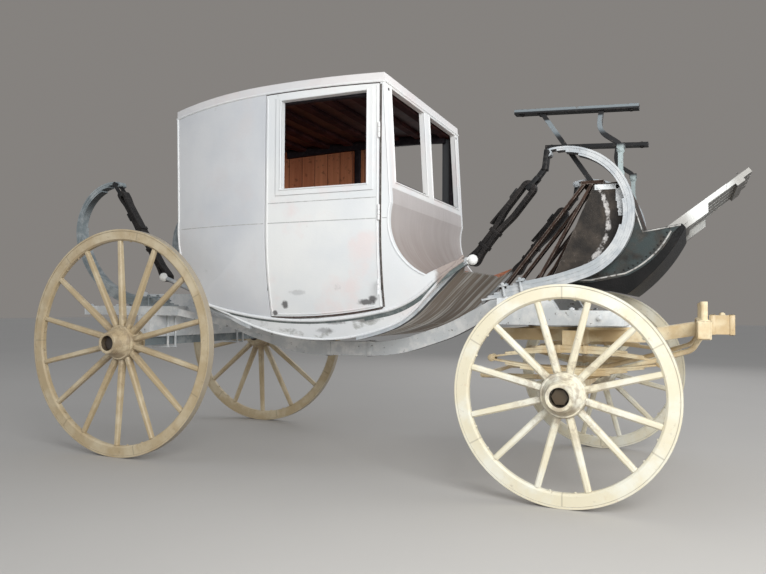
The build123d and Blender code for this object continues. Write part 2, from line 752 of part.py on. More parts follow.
def make_rear_carriage():
    """Perch, rear axle, bed, rails that carry the rear springs, and the wings."""
    save("perch", perch_bar(0))

    save("rear_axle", make_axle(0, REAR_WHEEL_R, REAR_HALF_TRACK))

    bed = block((-BED_WIDE / 2, BED_WIDE / 2), (-BED_HALF, BED_HALF), (BED_BOTTOM_Z, BED_TOP_Z))
    bed += block((-BED_WIDE / 2, BED_WIDE / 2), (-PERCH_WIDTH, PERCH_WIDTH), (BED_TOP_Z, BED_TOP_Z + RAIL_THICK))
    save("rear_bed", bed - perch_bar(SEAT))
    rails = block(
        REAR_RAIL_X, (SPRING_Y - RAIL_WIDE / 2, SPRING_Y + RAIL_WIDE / 2), (BED_TOP_Z, BED_TOP_Z + RAIL_THICK)
    )
    tail = block(
        (REAR_RAIL_X[0], REAR_RAIL_X[0] + RAIL_WIDE), (-SPRING_Y, SPRING_Y), (BED_TOP_Z, BED_TOP_Z + RAIL_THICK)
    )
    save("rear_platform", mirror_pair(rails) + tail)
    wing_z = BED_TOP_Z + RAIL_THICK / 2
    wing = strut((REAR_RAIL_X[1] - 40, SPRING_Y - RAIL_WIDE / 2 - SEAT, wing_z), (600, 0, 700), WING_SIZE, WING_SIZE)
    wing -= block((-500, 1000), (-PERCH_WIDTH, PERCH_WIDTH / 2 + SEAT), (0, 2000))
    wing -= block((-500, 1000), (SPRING_Y - RAIL_WIDE / 2 - SEAT, 900), (0, 2000))
    save("perch_wings", mirror_pair(wing))


def make_axle(x, z, half_track):
    """An axle bar with a turned arm and a nut at each end."""
    heel = half_track - DISH - NAVE_BACK
    arm_end = half_track - DISH - NAVE_BACK + NAVE_LENGTH - NOSE_RECESS_DEPTH
    bar = block(
        (x - AXLE_BAR / 2, x + AXLE_BAR / 2), (-heel + SWING, heel - SWING),
        (z - AXLE_BAR / 2, z + AXLE_BAR / 2),
    )
    arm = across_y(x, z, AXLE_ARM_R, heel - 2 * SWING, arm_end + SWING + AXLE_NUT_THICK)
    nut_face = arm_end + SWING
    nut = Pos(x, nut_face, z) * Rot(X=-90) * extrude(RegularPolygon(AXLE_NUT_R, 6), AXLE_NUT_THICK)
    return bar + mirror_pair(arm + nut)


def make_front_transom():
    """Upper front carriage: rails for the springs, cross beams and the upper wheel plate."""
    rail = block(TRANSOM_X, (SPRING_Y - RAIL_WIDE / 2, SPRING_Y + RAIL_WIDE / 2), TRANSOM_Z)
    inner_rail = block(
        TRANSOM_X, (INNER_RAIL_Y - RAIL_WIDE / 2, INNER_RAIL_Y + RAIL_WIDE / 2), TRANSOM_Z
    )
    frame = mirror_pair(rail + inner_rail)
    for x in (TRANSOM_X[0] + CROSS_WIDE / 2, WHEELBASE, TRANSOM_X[1] - CROSS_WIDE / 2):
        frame += block((x - CROSS_WIDE / 2, x + CROSS_WIDE / 2), (-SPRING_Y, SPRING_Y), TRANSOM_Z)
    tail_x = TRANSOM_X[0]
    foot = spring_foot(tail_x)
    head = spring_foot(tail_x + 240)
    wedge = outline(
        (tail_x, TRANSOM_Z[1] - EPS), [(tail_x, foot - SEAT)], [(tail_x + 240, head - SEAT)],
        [(tail_x + 300, TRANSOM_Z[1] - EPS)],
    )
    frame += mirror_pair(side_slab(wedge, SPRING_Y - RAIL_WIDE / 2, SPRING_Y + RAIL_WIDE / 2))
    ring = Pos(WHEELBASE, 0, TRANSOM_Z[0] - PLATE_THICK / 2) * (
        Cylinder(PLATE_R, PLATE_THICK) - Cylinder(PLATE_R - PLATE_RING, PLATE_THICK)
    )
    frame += ring
    frame -= Pos(WHEELBASE, 0, TRANSOM_Z[0]) * Cylinder(KING_R + SEAT, 400)
    save("front_transom", frame - perch_bar(SEAT))


def spring_foot(x):
    """Height of the front springs' back face above a point on their straight arm."""
    leave, low_r, turn, arm = FRONT_BEND
    end = radians(leave - turn)
    cx = FRONT_SPRING[0] + (FRONT_SPRING_R - low_r) * cos(radians(leave)) + low_r * cos(end)
    cz = FRONT_SPRING[1] + (FRONT_SPRING_R - low_r) * sin(radians(leave)) + low_r * sin(end)
    return cz + (x - cx) * -cos(end) / sin(end)


def under_half(upward):
    """Half of an elliptic spring: bowed leaves, shorter towards the seat."""
    half_spring = None
    middle_z = (UNDER_LOW_Z + UNDER_HIGH_Z) / 2
    bow = (UNDER_HIGH_Z - UNDER_LOW_Z) / 2 - UNDER_LEAF * UNDER_LEAVES
    bow_r = (UNDER_SPRING_HALF ** 2 + bow ** 2) / (2 * bow)
    for index in range(UNDER_LEAVES):
        half = UNDER_SPRING_HALF * (1 - 0.19 * index)
        r_in = bow_r + index * UNDER_LEAF
        r_out = bow_r + (index + 1) * UNDER_LEAF
        spread = half / bow_r
        edges = [
            ThreePointArc(*[(r_in * sin(a), r_in * cos(a)) for a in (-spread, 0, spread)]),
            Line((r_in * sin(spread), r_in * cos(spread)), (r_out * sin(spread), r_out * cos(spread))),
            ThreePointArc(*[(r_out * sin(a), r_out * cos(a)) for a in (spread, 0, -spread)]),
            Line((-r_out * sin(spread), r_out * cos(spread)), (-r_in * sin(spread), r_in * cos(spread))),
        ]
        width = UNDER_WIDTH / 2 - (LEAF_RELIEF if index % 2 else 0)
        leaf = Pos(0, 0, bow - bow_r + LEAF_GAP / 2) * side_slab(make_face(edges), -width, width)
        half_spring = leaf if half_spring is None else half_spring + leaf
    if not upward:
        half_spring = mirror(half_spring, Plane.XY)
    return Pos(WHEELBASE, UNDER_SPRING_Y, middle_z) * half_spring


def make_fore_carriage():
    """What steers: axle and bed, elliptic springs, futchells, lower plate and splinter bar."""
    axle = make_axle(WHEELBASE, FRONT_WHEEL_R, FRONT_HALF_TRACK)
    axle += mirror_pair(block(
        (WHEELBASE - AXLE_BAR / 2, WHEELBASE + AXLE_BAR / 2),
        (UNDER_SPRING_Y - UNDER_WIDTH, UNDER_SPRING_Y + UNDER_WIDTH),
        (FRONT_WHEEL_R, UNDER_LOW_Z - SEAT),
    ))
    save("front_axle", axle)

    save("under_springs", mirror_pair(under_half(True)) + mirror_pair(under_half(False)))

    plate_low = TRANSOM_Z[0] - 2 * PLATE_THICK - SEAT
    futchell_z = plate_low - FUTCHELL_DEEP / 2
    futchell = bent_bar(
        [
            (FUTCHELL_REAR_X, futchell_z), (2880, futchell_z),
            (SPLINTER_X, SPLINTER_Z),
        ],
        [400],
        FUTCHELL_WIDE, FUTCHELL_DEEP, INNER_RAIL_Y,
    )
    frame = mirror_pair(futchell)
    for x in (FUTCHELL_REAR_X + CROSS_WIDE / 2, WHEELBASE, 2860):
        half = UNDER_SPRING_Y + UNDER_WIDTH / 2 if x == WHEELBASE else INNER_RAIL_Y
        low = UNDER_HIGH_Z + SEAT if x == WHEELBASE else plate_low - FUTCHELL_DEEP
        frame += block((x - CROSS_WIDE / 2, x + CROSS_WIDE / 2), (-half, half), (low, plate_low))
    ring = Pos(WHEELBASE, 0, plate_low + PLATE_THICK / 2) * (
        Cylinder(PLATE_R, PLATE_THICK) - Cylinder(PLATE_R - PLATE_RING, PLATE_THICK)
    )
    king = rod((WHEELBASE, 0, plate_low - EPS), (WHEELBASE, 0, TRANSOM_Z[1] + SWING), KING_R)
    save("fore_frame", frame + ring + king)

    splinter = block(
        (SPLINTER_X - SPLINTER_SIZE[0] / 2, SPLINTER_X + SPLINTER_SIZE[0] / 2),
        (-SPLINTER_HALF, SPLINTER_HALF),
        (SPLINTER_Z - SPLINTER_SIZE[1] / 2, SPLINTER_Z + SPLINTER_SIZE[1] / 2),
    )
    for y in ROLLER_Y:
        splinter += mirror_pair(rod(
            (SPLINTER_X, y, SPLINTER_Z), (SPLINTER_X, y, SPLINTER_Z + SPLINTER_SIZE[1] / 2 + ROLLER_HIGH), ROLLER_R
        ))
    socket = block(
        POLE_SOCKET_X, (-POLE_SOCKET_SIZE / 2, POLE_SOCKET_SIZE / 2),
        (SPLINTER_Z - POLE_SOCKET_SIZE / 2 + 14, SPLINTER_Z + POLE_SOCKET_SIZE / 2 + 14),
    )
    pole_bore = rod(
        (SPLINTER_X + SPLINTER_SIZE[0] / 2, 0, SPLINTER_Z + 14), (POLE_SOCKET_X[1] + EPS, 0, SPLINTER_Z + 14), POLE_BORE_R
    )
    tongue = block(
        (SPLINTER_X, POLE_SOCKET_X[0]), (-POLE_SOCKET_SIZE / 2, POLE_SOCKET_SIZE / 2),
        (SPLINTER_Z - SPLINTER_SIZE[1] / 2, SPLINTER_Z + SPLINTER_SIZE[1] / 2),
    )
    bar = splinter + socket + tongue - pole_bore
    futchell_room = mirror_pair(bent_bar(
        [(FUTCHELL_REAR_X, futchell_z), (2880, futchell_z), (SPLINTER_X, SPLINTER_Z)],
        [400],
        FUTCHELL_WIDE + 2 * SEAT, FUTCHELL_DEEP + 2 * SEAT, INNER_RAIL_Y,
    ))
    save("splinter_bar", bar - futchell_room)

    stays = []
    rest_z = FRONT_WHEEL_R + AXLE_BAR / 2 + STAY_R + SEAT
    for side in (1, -1):
        y = side * STAY_Y
        path = Plane.XZ * FilletPolyline(
            (STAY_REAR_X, rest_z - 4), (WHEELBASE + 40, rest_z), (2900, 628), (3080, 690), (SPLINTER_X, 770),
            radius=[700, 500, 60],
        )
        section = Plane(origin=path @ 0, x_dir=(0, 1, 0), z_dir=path % 0) * Circle(STAY_R)
        stays.append(Pos(0, y, 0) * sweep(section, path=path))
    sway = across_y(STAY_REAR_X, rest_z - 4, STAY_R, -STAY_Y, STAY_Y)
    under = block((SPLINTER_X - 90, SPLINTER_X + 90), (-900, 900), (SPLINTER_Z - SPLINTER_SIZE[1] / 2 - SEAT, 1200))
    save("fore_stays", stays[0] + stays[1] + sway - under)


BOOT_SIDE = (
    BOOT_FLOOR_REAR, [PANEL_REAR], [BOOT_TOP_REAR], [BOOT_TOP_FRONT], [BOOT_KNEE], [TOE_TOP],
    [TOE_TIP], [TOE_MID, TOE_LOW], [BOOT_HEEL],
)
BOOT_PANEL = (
    PANEL_REAR, [BOOT_TOP_REAR], [BOOT_TOP_FRONT], [BOOT_KNEE], [TOE_TOP], [PANEL_TIP],
    [PANEL_MID, PANEL_LOW], [PANEL_HEEL],
)


def make_boot():
    """Boot under the coachman's seat: side panels and front on a curved toe board."""
    panel = outline(*BOOT_PANEL)
    half = BOOT_HALF - BOOT_WALL
    save("boot_sides", mirror_pair(side_slab(panel, half, BOOT_HALF)))
    toe = side_slab(outline(*BOOT_SIDE) - inset_outline(-SEAT, *BOOT_PANEL), -BOOT_HALF, BOOT_HALF)
    save("boot_floor", toe.solids().sort_by(SortBy.VOLUME)[-1])
    shell = side_slab(panel - inset_outline(BOOT_WALL, *BOOT_PANEL), -half, half)
    front = shell & block((BOOT_TOP_FRONT[0] - 2 * BOOT_WALL, TOE_TOP[0]), (-900, 900), (PANEL_TIP[1], 1600))
    save("boot_front", front.solids().sort_by(SortBy.VOLUME)[-1])


def make_slats():
    """Loose boards of the boot's back, fanned out between a top board and two cross bars."""
    top = block((2588, 2694), (-BOOT_HALF, BOOT_HALF), (1484.6, 1502))
    rack = top
    for foot_x, head_x in ((2205.0, 2604.0), (2372.0, 2640.0)):
        foot_z = spring_foot(foot_x) + 62
        cross = block(
            (foot_x - 16, foot_x + 16),
            (-SPRING_Y + LEAF_WIDTH / 2 + SEAT, SPRING_Y - LEAF_WIDTH / 2 - SEAT),
            (foot_z - 26, foot_z - 4),
        )
        rack += cross
        for y in (IRON_Y - 16, INNER_RAIL_Y):
            board = strut((foot_x, y, foot_z - 12), (head_x, y, 1490), SLAT_WIDE, SLAT_THICK)
            rack += mirror_pair(board)
    save("boot_slats", rack)


def make_irons():
    """Side rails of the coachman's seat on their legs."""
    rail = strut(
        (SEAT_RAIL[0][0], IRON_Y, SEAT_RAIL[0][1]), (SEAT_RAIL[1][0], IRON_Y, SEAT_RAIL[1][1]),
        SEAT_RAIL_WIDE, IRON_THICK,
    )
    head, foot = ((x, IRON_Y, z) for x, z in REAR_LEG)
    rear_leg = strut(head, foot, IRON_WIDE, IRON_THICK)
    front_leg = bent_bar(FRONT_LEG, FRONT_LEG_R, IRON_WIDE, IRON_THICK, IRON_Y)
    room = side_slab(inset_outline(-SEAT, *BOOT_SIDE), 0, 900)
    top_board = block((2588 - SEAT, 2694 + SEAT), (0, 900), (1484.6 - SEAT, 1502 + SEAT))
    iron = rail + rear_leg + front_leg - room - top_board
    iron = iron.solids().sort_by(SortBy.VOLUME)[-1]
    save("seat_irons", mirror_pair(iron))


def make_footboard():
    """Sloping slatted footboard on two bearers."""
    slope = radians(FOOTBOARD_SLOPE)
    tip_x = FOOTBOARD_REACH - FOOTBOARD_THICK * sin(slope)
    foot = (tip_x - FOOTBOARD_LENGTH * cos(slope), FOOTBOARD_TIP_Z - FOOTBOARD_LENGTH * sin(slope))

    def band(start, end, top, bottom):
        points = []
        for along, down in ((start, top), (end, top), (end, bottom), (start, bottom)):
            points.append((
                foot[0] + along * cos(slope) + down * sin(slope),
                foot[1] + along * sin(slope) - down * cos(slope),
            ))
        return outline(points[0], [points[1]], [points[2]], [points[3]])

    pitch = (2 * FOOTBOARD_HALF + FOOTBOARD_GAP) / FOOTBOARD_SLATS
    board = side_slab(
        band(40, FOOTBOARD_LENGTH - 40, FOOTBOARD_THICK - EPS, FOOTBOARD_THICK + BEARER_DEEP),
        BEARER_Y - BEARER_WIDE / 2, BEARER_Y + BEARER_WIDE / 2,
    )
    board = mirror_pair(board)
    for index in range(FOOTBOARD_SLATS):
        low = -FOOTBOARD_HALF + index * pitch
        board += side_slab(band(0, FOOTBOARD_LENGTH, 0, FOOTBOARD_THICK), low, low + pitch - FOOTBOARD_GAP)
    for along in (90, FOOTBOARD_LENGTH - 70):
        board += side_slab(
            band(along - 22, along + 22, FOOTBOARD_THICK - EPS, FOOTBOARD_THICK + 14),
            -FOOTBOARD_HALF, FOOTBOARD_HALF,
        )
    taper = outline(
        (foot[0] - FOOTBOARD_THICK, -FOOTBOARD_HALF), [(FOOTBOARD_REACH + EPS, -FOOTBOARD_TIP_HALF)],
        [(FOOTBOARD_REACH + EPS, FOOTBOARD_TIP_HALF)], [(foot[0] - FOOTBOARD_THICK, FOOTBOARD_HALF)],
    )
    board &= extrude(taper, 2 * FOOTBOARD_TIP_Z)
    board -= side_slab(inset_outline(-SEAT, *BOOT_SIDE), -900, 900)
    save("footboard", board.solids().sort_by(SortBy.VOLUME)[-1])


# Wheels
def wheel_rim(radius):
    """Felloes and iron tyre, drawn as radius and height above the rim's middle plane."""
    wood = radius - TYRE_THICK
    inner = wood - FELLOE_DEPTH
    half, iron, cut = FELLOE_WIDTH / 2, TYRE_WIDTH / 2, FELLOE_CHAMFER
    profile = outline(
        (inner, -half + cut), [(inner, half - cut)], [(inner + cut, half)], [(wood, half)],
        [(wood, iron)], [(radius, iron)], [(radius, -iron)], [(wood, -iron)], [(wood, -half)],
        [(inner + cut, -half)],
    )
    return revolve(Plane.XZ * profile, Axis.Z)


def spoke_section(size, x, z):
    """A rectangle with its corners taken off, square to the spoke's run."""
    flat = Rectangle(*size)
    flat = chamfer(flat.vertices(), SPOKE_CHAMFER * min(size))
    return Plane(origin=(x, 0, z), x_dir=(0, 1, 0), z_dir=(1, 0, 0)) * flat


def wheel_centre(radius, count):
    """Turned nave with its bore and nose recess, and the dished spokes."""
    heel = -DISH - NAVE_BACK
    nose = heel + NAVE_LENGTH
    bore = AXLE_ARM_R + RUN
    belt = SPOKE_FOOT[1] / 2 + 6
    profile = outline(
        (bore, heel), [(NAVE_HEEL_R, heel)], [(NAVE_HEEL_R + 4, heel + 20)],
        [(NAVE_BAND_R, heel + 42), (NAVE_R, -DISH - belt)],
        [(NAVE_R, -DISH + belt)],
        [(NAVE_BAND_R, -DISH + belt + 26), (NAVE_NOSE_R + 9, nose - 34)],
        [(NAVE_NOSE_R, nose)], [(NOSE_RECESS_R, nose)],
        [(NOSE_RECESS_R, nose - NOSE_RECESS_DEPTH)], [(bore, nose - NOSE_RECESS_DEPTH)],
    )
    centre = revolve(Plane.XZ * profile, Axis.Z)
    end_r = radius - TYRE_THICK - FELLOE_DEPTH - 2 * SEAT
    spoke = loft([
        spoke_section(SPOKE_FOOT, NAVE_R - 14, -DISH),
        spoke_section(SPOKE_TONGUE, end_r, 0),
    ], ruled=True)
    for index in range(count):
        centre += Rot(Z=(index + 0.5) * 360 / count) * spoke
    return centre


def make_wheels():
    """Two pairs of wheels, each a rim and a centre, noses outwards."""
    pairs = (
        ("rear", 0, REAR_WHEEL_R, REAR_HALF_TRACK, REAR_SPOKES),
        ("front", WHEELBASE, FRONT_WHEEL_R, FRONT_HALF_TRACK, FRONT_SPOKES),
    )
    for end, x, radius, half_track, count in pairs:
        rim = wheel_rim(radius)
        centre = wheel_centre(radius, count)
        for side, word in ((1, "left"), (-1, "right")):
            place = Pos(x, side * half_track, radius) * Rot(X=-90 * side)
            save(f"{end}_{word}_rim", place * rim)
            save(f"{end}_{word}_wheel_centre", place * centre)


os.makedirs("parts", exist_ok=True)
make_body()
make_loops()
make_springs()
make_braces()
make_rear_carriage()
make_front_transom()
make_fore_carriage()
make_boot()
make_slats()
make_irons()
make_footboard()
make_wheels()
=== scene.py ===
"""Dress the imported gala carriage: paint, mouldings, straps, bolts, light and camera.

Lengths are metres. Side views are drawn as (x, z), with x counted forward from the rear
axle, and the frame's own rear axle carries them into place.
"""

import json
import logging
import math
from collections.abc import Iterable, Sequence
from dataclasses import dataclass
from enum import Enum

import bmesh
import bpy
from mathutils import Matrix, Vector


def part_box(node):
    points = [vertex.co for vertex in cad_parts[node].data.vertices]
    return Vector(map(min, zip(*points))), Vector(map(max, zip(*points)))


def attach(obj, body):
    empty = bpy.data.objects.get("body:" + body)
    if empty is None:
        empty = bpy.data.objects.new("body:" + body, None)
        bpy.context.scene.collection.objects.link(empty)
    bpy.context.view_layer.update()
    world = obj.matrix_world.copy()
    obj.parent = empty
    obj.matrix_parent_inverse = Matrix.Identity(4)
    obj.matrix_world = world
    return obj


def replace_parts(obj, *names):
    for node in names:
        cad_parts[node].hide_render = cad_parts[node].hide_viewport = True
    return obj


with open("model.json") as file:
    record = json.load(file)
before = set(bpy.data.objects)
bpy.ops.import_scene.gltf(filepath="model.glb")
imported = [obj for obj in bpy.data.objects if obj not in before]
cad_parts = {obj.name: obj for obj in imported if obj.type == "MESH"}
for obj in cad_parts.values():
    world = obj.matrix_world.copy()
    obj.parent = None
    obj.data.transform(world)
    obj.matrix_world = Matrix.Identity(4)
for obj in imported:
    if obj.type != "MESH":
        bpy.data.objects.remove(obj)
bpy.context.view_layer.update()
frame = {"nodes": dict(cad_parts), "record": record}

log = logging.getLogger("carriage")

Pair = tuple[float, float]
Triple = tuple[float, float, float]
Colour = Triple
Names = tuple[str, str]

SHARP_EDGE = math.radians(38)
UP = Vector((0.0, 0.0, 1.0))
FORWARD = Vector((1.0, 0.0, 0.0))
ACROSS = Vector((0.0, 1.0, 0.0))
BOTH = (-1, 1)
EVEN = (1.0, 1.0, 1.0)
REAR_AXLE_X = (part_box("rear_axle")[0].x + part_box("rear_axle")[1].x) / 2


class Side(Enum):
    """The carriage's two sides, as the sign of Y."""

    LEFT = 1
    RIGHT = -1

    @property
    def word(self) -> str:
        """The side as it stands in node names."""
        return self.name.lower()


class Lining(Enum):
    """Which way the bare inner boards of a wall face."""

    NONE = "none"
    SIDES = "sides"
    FRONT = "front"
    REAR = "rear"
    CEILING = "ceiling"


class Grain(Enum):
    """The direction that a board's grain runs in, as noise scales along X, Y and Z."""

    FORE_AFT = (0.06, 1.0, 1.0)
    CROSSWISE = (1.0, 0.06, 1.0)
    UPRIGHT = (1.0, 1.0, 0.06)


class Nut(Enum):
    """The sizes of nut on the carriage, as width and height."""

    TYRE = (0.012, 0.006)
    STUD = (0.018, 0.008)
    CLAMP = (0.019, 0.014)
    CLIP = (0.020, 0.014)
    PLATE = (0.022, 0.012)
    SEAT = (0.024, 0.012)
    BEAM = (0.024, 0.014)
    EYE = (0.026, 0.010)
    PERCH = (0.030, 0.016)


# Places and directions
def at(x: float, y: float, z: float) -> Vector:
    """A point given from the rear axle, in the frame."""
    return Vector((REAR_AXLE_X + x, y, z))


def level(x: float, y: float, z: float) -> Matrix:
    """A place given from the rear axle, square with the frame."""
    return Matrix.Translation(at(x, y, z))


def sloped(angle: float) -> tuple[Vector, Vector]:
    """The way up a slope of the side view, and the way that the slope faces."""
    rise, run = math.sin(angle), math.cos(angle)
    return Vector((run, 0.0, rise)), Vector((-rise, 0.0, run))


def seat(origin: Vector, along: Vector, out: Vector) -> Matrix:
    """A place to build at.

    Args:
        origin: Where it lies.
        along: The direction of its Z.
        out: The direction that its Y faces, squared up to Z.

    Returns:
        The place as a matrix.
    """
    z_axis = along.normalized()
    x_axis = out.cross(z_axis).normalized()
    y_axis = z_axis.cross(x_axis)
    place = Matrix((x_axis, y_axis, z_axis)).transposed().to_4x4()
    place.translation = origin
    return place


def stand(origin: Vector, axis: Vector) -> Matrix:
    """A place whose Z is the axis of something round."""
    return seat(origin, axis, FORWARD if abs(axis.normalized().x) < 0.9 else UP)


def arc(start: Pair, middle: Pair, end: Pair, steps: int = 16) -> list[Pair]:
    """Points along the circle through three points of a side view.

    Args:
        start: Where the arc starts.
        middle: A point on the way.
        end: Where it ends.
        steps: How many chords it is made of.

    Returns:
        The points, both ends included.
    """
    bx, by = middle[0] - start[0], middle[1] - start[1]
    cx, cy = end[0] - start[0], end[1] - start[1]
    cross = 2 * (bx * cy - by * cx)
    ux = (cy * (bx * bx + by * by) - by * (cx * cx + cy * cy)) / cross
    uy = (bx * (cx * cx + cy * cy) - cx * (bx * bx + by * by)) / cross
    radius = math.hypot(ux, uy)
    first = math.atan2(-uy, -ux)
    turn = math.atan2(cy - uy, cx - ux) - first
    turn += math.tau if cross > 0 > turn else 0.0
    turn -= math.tau if cross < 0 < turn else 0.0
    angles = [first + turn * step / steps for step in range(steps + 1)]
    return [
        (start[0] + ux + radius * math.cos(a), start[1] + uy + radius * math.sin(a)) for a in angles
    ]


def straight(start: Pair, end: Pair, steps: int = 8) -> list[Pair]:
    """Evenly spaced points from one side-view point to another."""
    return [
        (start[0] + (end[0] - start[0]) * i / steps, start[1] + (end[1] - start[1]) * i / steps)
        for i in range(steps + 1)
    ]


def smooth(value: float, low: float, high: float) -> float:
    """A smooth step from 0 at low to 1 at high."""
    share = min(max((value - low) / (high - low), 0.0), 1.0)
    return share * share * (3 - 2 * share)


def shifted(points: Iterable[Pair], dx: float = 0.0, dz: float = 0.0) -> list[Pair]:
    """Side-view points moved together."""
    return [(x + dx, z + dz) for x, z in points]


def run_of(points: Sequence[Vector], outs: Sequence[Vector]) -> list[Matrix]:
    """Places along a line of points, each facing its own way out.

    Args:
        points: The line.
        outs: The direction that each place faces.

    Returns:
        One place for each point, with Z along the line.
    """
    places = []
    last = len(points) - 1
    for index, (point, out) in enumerate(zip(points, outs)):
        along = points[min(index + 1, last)] - points[max(index - 1, 0)]
        places.append(seat(point, along, out))
    return places


def half_round(radius: float, sink: float = 0.002, steps: int = 6) -> list[Pair]:
    """The section of a bead: flat on the panel and round outside."""
    turn = [math.pi * step / steps for step in range(steps + 1)]
    return [(-radius, -sink), (radius, -sink)] + [
        (radius * math.cos(a), radius * math.sin(a)) for a in turn
    ]


def flat_bar(wide: float, low: float, high: float) -> list[Pair]:
    """The section of a strip: its width, and its two faces' heights."""
    return [(-wide / 2, low), (wide / 2, low), (wide / 2, high), (-wide / 2, high)]


class Form:
    """One new piece, shaped by mesh operators and then painted and fixed to its body."""

    def __init__(self) -> None:
        """Start with an empty mesh."""
        self.mesh = bmesh.new()

    def _soften(self, edges: Iterable[bmesh.types.BMEdge], width: float, segments: int = 2) -> None:
        """Round off these edges."""
        bmesh.ops.bevel(
            self.mesh, geom=list(edges), offset=width, offset_type="OFFSET", segments=segments,
            profile=0.5, affect="EDGES", material=-1, clamp_overlap=True,
        )

    def block(self, place: Matrix, size: Sequence[float], soft: float = 0.0) -> None:
        """Add a block centred on its place.

        Args:
            place: Its middle and axes.
            size: Its lengths along those axes.
            soft: How far its edges are rounded.
        """
        made = bmesh.ops.create_cube(self.mesh, size=1.0, matrix=place @ Matrix.Diagonal((*size, 1.0)))
        if soft:
            self._soften({edge for vert in made["verts"] for edge in vert.link_edges}, soft)

    def pin(
        self, place: Matrix, radius: float, height: float, sides: int = 20, soft: float = 0.0,
        top: float | None = None,
    ) -> None:
        """Add a round or many-sided pin that stands on its place.

        Args:
            place: The middle of its foot, with Z along it.
            radius: Its radius at the foot.
            height: Its length.
            sides: How many sides it has.
            soft: How far its end edges are rounded.
            top: Its radius at the top, where it tapers.
        """
        made = bmesh.ops.create_cone(
            self.mesh, cap_ends=True, cap_tris=False, segments=sides, radius1=radius,
            radius2=radius if top is None else top, depth=height,
            matrix=place @ Matrix.Translation((0.0, 0.0, height / 2)),
        )
        if soft:
            faces = {face for vert in made["verts"] for face in vert.link_faces}
            ends = [face for face in faces if len(face.verts) == sides]
            self._soften({edge for face in ends for edge in face.edges}, soft)

    def bolt(self, place: Matrix, nut: Nut) -> None:
        """Add a six-sided nut on its washer, and the end of its bolt.

        Args:
            place: Where it stands, with Z away from the surface.
            nut: Its size.
        """
        across, height = nut.value
        self.pin(place, across * 0.72, height * 0.16, sides=16)
        self.pin(place, across * 0.54, height * 0.8, sides=6, soft=height * 0.08)
        self.pin(place, across * 0.26, height, sides=10, soft=height * 0.08)

    def bolts(self, spots: Iterable[Vector], out: Vector, nut: Nut) -> None:
        """Add nuts that all face one way.

        Args:
            spots: Where they stand.
            out: The way they face.
            nut: Their size.
        """
        for spot in spots:
            self.bolt(seat(spot, out, FORWARD if abs(out.z) > 0.9 else UP), nut)

    def tack(self, place: Matrix, radius: float) -> None:
        """Add a small domed nail head."""
        self.pin(place, radius, radius * 0.45, sides=8, top=radius * 0.55)

    def lathe(self, place: Matrix, profile: Sequence[Pair], steps: int = 40) -> None:
        """Turn a closed profile about its place's Z.

        Args:
            place: The axis.
            profile: Points as radius and height.
            steps: How many facets go round.
        """
        verts = [self.mesh.verts.new(place @ Vector((r, 0.0, h))) for r, h in profile]
        edges = [self.mesh.edges.new((a, b)) for a, b in zip(verts, verts[1:] + verts[:1])]
        bmesh.ops.spin(
            self.mesh, geom=verts + edges, cent=place.translation, axis=place.col[2].to_3d(),
            dvec=(0.0, 0.0, 0.0), angle=math.tau, steps=steps, use_merge=True, use_duplicate=False,
        )

    def sweep(self, section: Sequence[Pair], places: Sequence[Matrix], closed: bool = False) -> None:
        """Draw a section through a run of places.

        Args:
            section: Points as distance across and distance out.
            places: The run, with Z along it.
            closed: Whether the last place is the first one again.
        """
        ring = [self.mesh.verts.new(places[0] @ Vector((u, v, 0.0))) for u, v in section]
        first = self.mesh.faces.new(ring)
        tip = first
        start = list(ring)
        for here, there in zip(places, places[1:]):
            made = bmesh.ops.extrude_face_region(self.mesh, geom=[tip])["geom"]
            verts = [item for item in made if isinstance(item, bmesh.types.BMVert)]
            tip = next(item for item in made if isinstance(item, bmesh.types.BMFace))
            bmesh.ops.transform(self.mesh, matrix=there @ here.inverted(), verts=verts)
        if closed:
            ends = [face for face in (first, tip) if face.is_valid]
            joined = start + list(tip.verts)
            bmesh.ops.delete(self.mesh, geom=ends, context="FACES_ONLY")
            bmesh.ops.remove_doubles(self.mesh, verts=joined, dist=1e-5)
        elif not first.is_valid:
            self.mesh.faces.new(start)

    def hoop(self, place: Matrix, inside: Pair, band: float, thick: float) -> None:
        """Add a square iron hoop round something.

        Args:
            place: Its middle, with Z along what it goes round.
            inside: Its clear width along X and Y.
            band: Its width along Z.
            thick: The thickness of its iron.
        """
        for side in BOTH:
            shift_x = Matrix.Translation((side * (inside[0] + thick) / 2, 0.0, 0.0))
            shift_y = Matrix.Translation((0.0, side * (inside[1] + thick) / 2, 0.0))
            self.block(place @ shift_x, (thick, inside[1] + 2 * thick, band), thick * 0.25)
            self.block(place @ shift_y, (inside[0] + 2 * thick, thick, band), thick * 0.25)

    def both_sides(self) -> "Form":
        """Add the mirror image across the carriage's middle."""
        geometry = self.mesh.verts[:] + self.mesh.edges[:] + self.mesh.faces[:]
        bmesh.ops.mirror(self.mesh, geom=geometry, matrix=Matrix.Identity(4), merge_dist=0.0, axis="Y")
        return self

    def finish(
        self, name: str, paint: bpy.types.Material, slot: str, body: str = "coach"
    ) -> bpy.types.Object:
        """Make the piece an object that rides on its body.

        Args:
            name: The piece's name.
            paint: Its material.
            slot: The record's material slot for the piece; not used.
            body: The body that it rides on.

        Returns:
            The finished object.
        """
        bmesh.ops.recalc_face_normals(self.mesh, faces=self.mesh.faces[:])
        data = bpy.data.meshes.new(name)
        self.mesh.to_mesh(data)
        self.mesh.free()
        data.shade_smooth()
        data.set_sharp_from_angle(angle=SHARP_EDGE)
        data.materials.append(paint)
        piece = bpy.data.objects.new(name, data)
        bpy.context.scene.collection.objects.link(piece)
        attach(piece, body)
        log.info("%s: %d faces on %s", name, len(data.polygons), body)
        return piece


